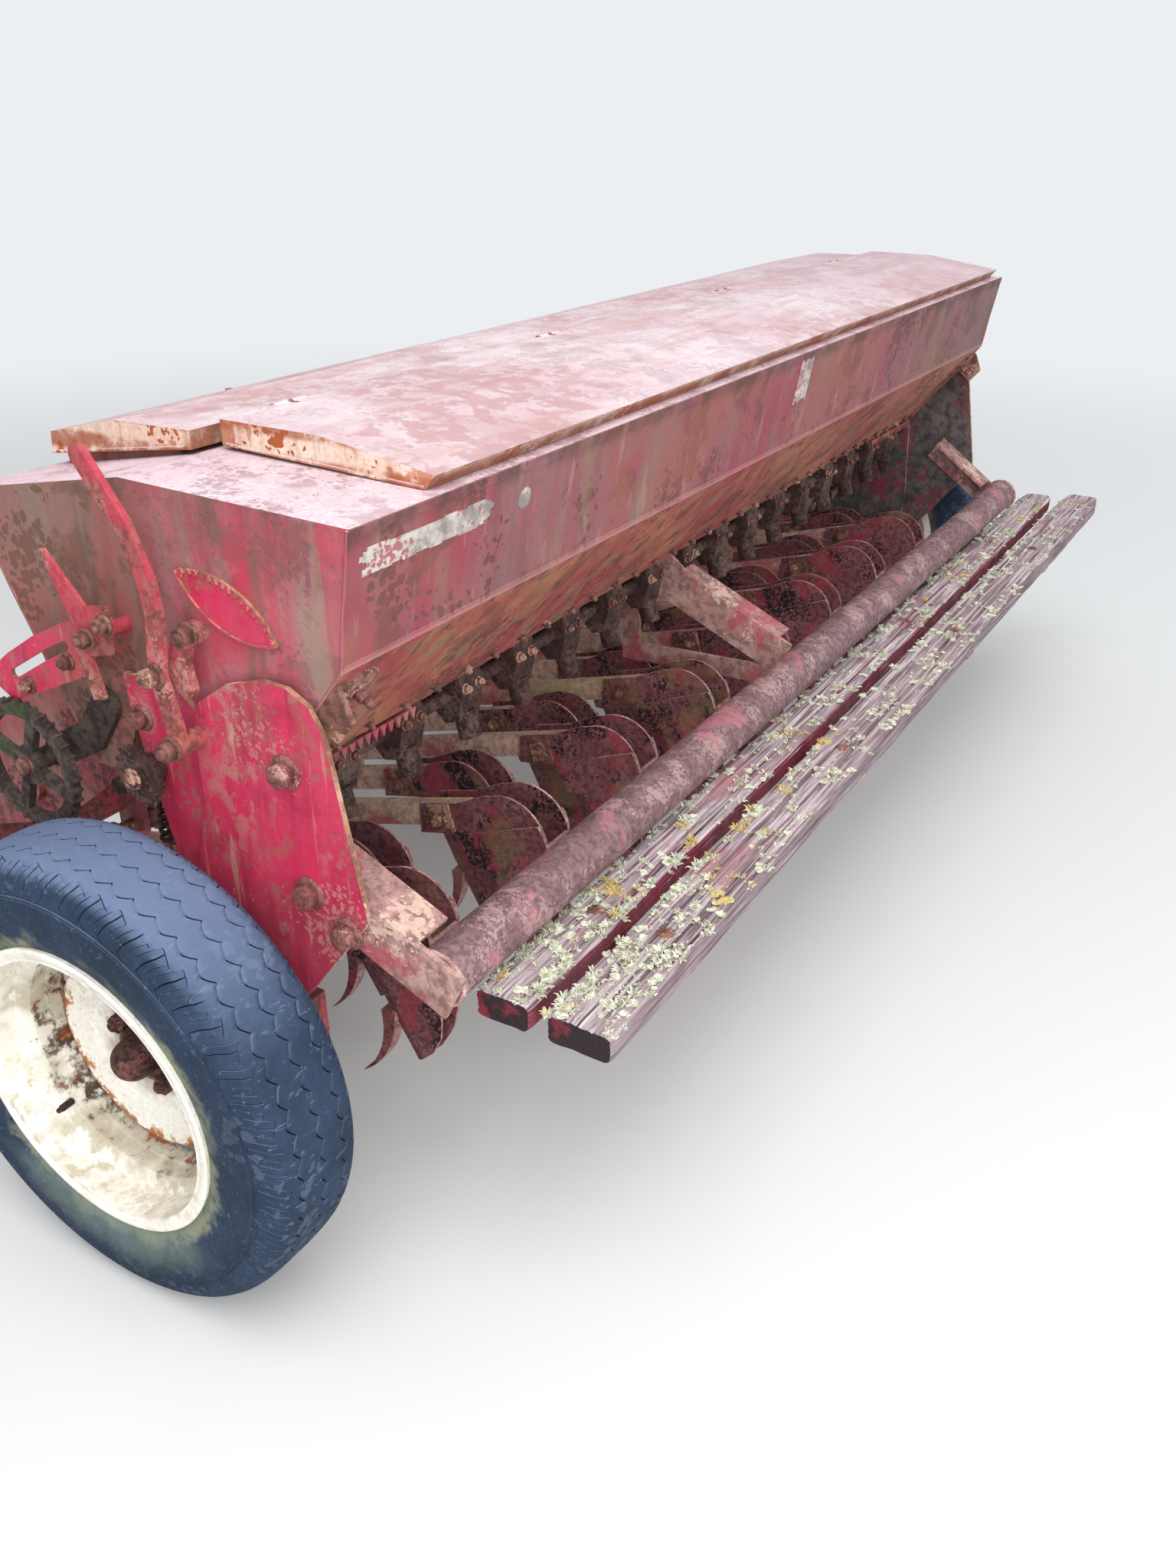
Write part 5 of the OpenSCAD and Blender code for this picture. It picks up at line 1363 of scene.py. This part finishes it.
def panel_spot(along, z, out):
    share = (PANEL_TOP.y - z) / (PANEL_TOP.y - PANEL_FOOT.y)
    return spot(along, PANEL_FOOT.x * share - out, z)


hems = [lip(panel_spot(1, 1095, 0.6), panel_spot(2589, 1095, 0.6), 0.013, 0.0016, PANEL_OUT),
        lip(panel_spot(1, 932, 0.6), panel_spot(2589, 932, 0.6), 0.009, 0.002, PANEL_OUT)]
CORNER_WELDS = [((2, 1100), (31, 928)), ((33, 926), (193, 730)), ((653, 1056), (492, 703))]
for along in (0.5, HOPPER_L - 0.5):
    for weld_from, weld_to in CORNER_WELDS:
        hems.append(bead(spot(along, *weld_from), spot(along, *weld_to), 0.0024, step=0.008, wander=0.0008))
complete(merge(hems), "hopper_hems", hopper_paint, "base")

# The lids' flanges are rolled along their free edge and both ends.
# Name, left end, then the free edge and the hinged edge as (y, z).
LID_END = 2559
ROLL_R = 0.0026
LID_EDGES = [("grain", 166, (24, 1105.5), (336, 1119)), ("fertiliser", 131, (632, 1081.5), (372, 1118))]
for label, from_along, free, hinged in LID_EDGES:
    rolls = [bead(spot(from_along, *free), spot(LID_END, *free), ROLL_R, wander=0.0006)]
    for along in (from_along - 0.5, LID_END + 0.5):
        rear, front = sorted((free, hinged))
        rolls.append(bead(spot(along, *rear), spot(along, *front), ROLL_R))
    complete(merge(rolls), label + "_lid_hems", lid_chalk, label + "_cover")

# %% [markdown]
# The badge keeps its shape but no wording: a saw-toothed ridge follows its upper edge, and a rivet sits
# at each end. The controls get their nuts, and the funnel's lower edge its short saw-toothed strip.

# %% Rivets, teeth and control nuts


def rivet(radius, height):
    clear()
    bpy.ops.mesh.primitive_uv_sphere_add(segments=20, ring_count=10, radius=radius)
    dome = bpy.context.object
    dome.scale.z = height / radius
    apply_place(dome)
    pick_faces(dome, lambda centre, face_normal: centre.z < 0)
    bpy.ops.mesh.delete(type="FACE")
    return smooth(dome)


def tooth(length, width, height):
    wedge = cylinder(3, 0.5, width, rotation=(math.pi / 2, 0, 0))
    wedge.scale = (length, 1, height / 0.75)
    return apply_place(wedge)


BADGE_ENDS = [Vector((273, 1012)), Vector((120, 945))]
badge_middle = (BADGE_ENDS[0] + BADGE_ENDS[1]) / 2
badge_run = (BADGE_ENDS[0] - BADGE_ENDS[1]).normalized()
badge_up = Vector((-badge_run.y, badge_run.x))
half_badge = (BADGE_ENDS[0] - BADGE_ENDS[1]).length / 2
BADGE_BOW = 27
badge_r = (half_badge ** 2 + BADGE_BOW ** 2) / (2 * BADGE_BOW)
ridge = []
for k in range(15):
    slide = (k - 7) / 7 * (half_badge - 12)
    rise = math.sqrt(badge_r ** 2 - slide ** 2) - badge_r + BADGE_BOW
    place = badge_middle + badge_run * slide + badge_up * rise
    tilt = math.asin(slide / badge_r)
    up_here = badge_up * math.cos(tilt) + badge_run * math.sin(tilt)
    across = Vector((up_here.y, -up_here.x))
    basis = Matrix(((0, across.x, across.y), (-1, 0, 0), (0, up_here.x, up_here.y))).transposed().to_4x4()
    ridge.append(Matrix.Translation(spot(-6.5, place.x, place.y)) @ basis)
badge_teeth = copies(tooth(0.008, 0.004, 0.007), ridge, "teeth")
rivet_places = [badge_middle + badge_run * side * (half_badge - 9) for side in (-1, 1)]
badge_rivets = copies(rivet(0.0048, 0.003), [pointing(spot(-5, *place), OUTWARDS) for place in rivet_places],
                      "rivets")
complete(merge([badge_teeth, badge_rivets]), "badge_trim", end_crimson, "base")

# Width over flats, head, washer's radius, thread's end, then the places.
CONTROL_NUTS = [(0.024, 0.014, 0.017, 0.006, [(-60, 261, 802), (-52, 280, 893), (-18, 250, 940)]),
                (0.019, 0.011, 0.014, 0.005, [(-62, 379, 924), (-56, 350, 945)]),
                (0.016, 0.009, 0.012, 0.004, [(-46, 446, 874), (-46, 535, 822)]),
                (0.024, 0.006, 0.016, 0, [(-60, 560, 702)]), (0.02, 0.006, 0.015, 0, [(-54, 352, 734)])]
nuts = [copies(bolt(across, head, washer_r, stub=stub),
               [pointing(spot(*place), OUTWARDS, chance.uniform(0, 6.28)) for place in places], "nuts")
        for across, head, washer_r, stub, places in CONTROL_NUTS]
complete(merge(nuts), "control_nuts", brown_steel, "base")

teeth_places = [Matrix.Translation(spot(along, 193, 719)) @ Matrix.Rotation(math.pi, 4, "X")
                for k in range(18) for along in (32 + 17 * k, HOPPER_L - 32 - 17 * k)]
scatter("funnel_teeth", tooth(0.017, 0.005, 0.018), teeth_places, worn_red)

# %% [markdown]
# Small bolts hold every feed unit under the funnel. The bolts lie in rows, so their places are counted
# out from the runs. Domed heads pin the planks to their brackets.

# %% Feed bolts, plank bolts, grease nipples
# Distance from the run, y, z, direction.
FEED_BOLTS = [(17, 192.4, 705, (0, -0.991, 0.13)), (36, 175.5, 751.5, (0, -0.7717, -0.636))]
feed_places = [pointing(spot(along + side * out, y, z), aim, chance.uniform(0, 6))
               for along in RUN_PLACES for side in (-1, 1) for out, y, z, aim in FEED_BOLTS]
feed_bolt = bolt(0.012, 0.007, 0.009, 0.0015, 0.004)
scatter("feed_bolts", feed_bolt, feed_places, brown_steel)
PLANK_BRACKETS = (295, 962, 1628, 2295)
DOME_FOOT = 498.2
coach_places = [Matrix.Translation(spot(along, y, DOME_FOOT))
                for along in PLANK_BRACKETS for y in (-133, -245)]
scatter("plank_bolts", rivet(0.013, 0.005), coach_places, brown_steel)
nipple_places = [Matrix.Translation(spot(along, PIVOT_Y, PIVOT_Z + 27.5)) for along in RUN_PLACES]
nipple = cylinder(10, 0.004, 0.01, (0, 0, 0.005))
pick_faces(nipple, looks_up)
bpy.ops.mesh.inset(thickness=0.0012)
bpy.ops.mesh.extrude_region_move(TRANSFORM_OT_translate={"value": (0, 0, 0.004)})
scatter("grease_nipples", nipple, nipple_places, rod_steel, "coulters")

# %% [markdown]
# A weld bead rings each end of the step pipe, and each wheel has its valve.

# %% Pipe welds and valves
welds = []
for along in (2.5, HOPPER_L - 2.5):
    clear()
    bpy.ops.mesh.primitive_torus_add(major_radius=0.0385, minor_radius=0.0032, major_segments=72,
                                     minor_segments=8, location=spot(along, -79, 545),
                                     rotation=(0, math.pi / 2, 0))
    weld = apply_place(bpy.context.object)
    for vertex in weld.data.vertices:
        vertex.co += noise.noise_vector(vertex.co * 170) * 0.0011
    welds.append(smooth(weld))
complete(merge(welds), "pipe_welds", bracket_steel, "base")


def valve():
    stem = cylinder(16, 0.0055, 0.03, (0, 0, 0.015))
    pick_faces(stem, looks_up)
    bpy.ops.mesh.inset(thickness=0.0015)
    bpy.ops.mesh.extrude_region_move(TRANSFORM_OT_translate={"value": (0, 0, 0.012)})
    bpy.ops.mesh.bevel(offset=0.0008, segments=1)
    return smooth(stem, 35)


VALVE_TURN = 318
tilt = math.radians(VALVE_TURN)
rim_place = around_axle(VALVE_TURN, -164, 182)
for side, place, outwards in (("left", rim_place, -0.8), ("right", mirrored(rim_place), 0.8)):
    aim = Vector((outwards, -0.6 * math.cos(tilt), -0.6 * math.sin(tilt)))
    scatter("valve_" + side, valve(), [pointing(place, aim)], dark_steel, "wheel_" + side)

# %% [markdown]
# Three old stickers lie on the rear panel: a torn strip near the left end, a small disc and a label
# further along. Each is a fine grid whose rim is torn by dropping faces, given a paper's thickness.

# %% Stickers


def sticker(name, along, z, width, height, seed, disc=False):
    clear()
    bpy.ops.mesh.primitive_grid_add(x_subdivisions=40, y_subdivisions=16, size=1)
    sheet = bpy.context.object
    lean = math.atan2(PANEL_FOOT.x, PANEL_TOP.y - PANEL_FOOT.y)

    def torn(centre, face_normal):
        x, y = centre.x * 2, centre.y * 2
        rim = math.hypot(x, y) if disc else max(abs(x), abs(y))
        return rim + 0.12 * noise.noise(Vector((x * 4 + seed, y * 1.5, 1))) > 0.95

    pick_faces(sheet, torn)
    bpy.ops.mesh.delete(type="FACE")
    clear()
    sheet.scale = (width / 1000, height / 1000, 1)
    modify(apply_place(sheet), "SOLIDIFY", thickness=0.0006)
    sheet.rotation_euler = (math.pi / 2 + lean, 0, 0)
    sheet.location = panel_spot(along, z, 0.7)
    return complete(sheet, name, old_paper, "base")


sticker("sticker_strip", 150, 1056, 260, 34, 3)
sticker("sticker_disc", 352, 1052, 30, 30, 5, disc=True)
sticker("sticker_label", 1290, 1050, 60, 82, 9)
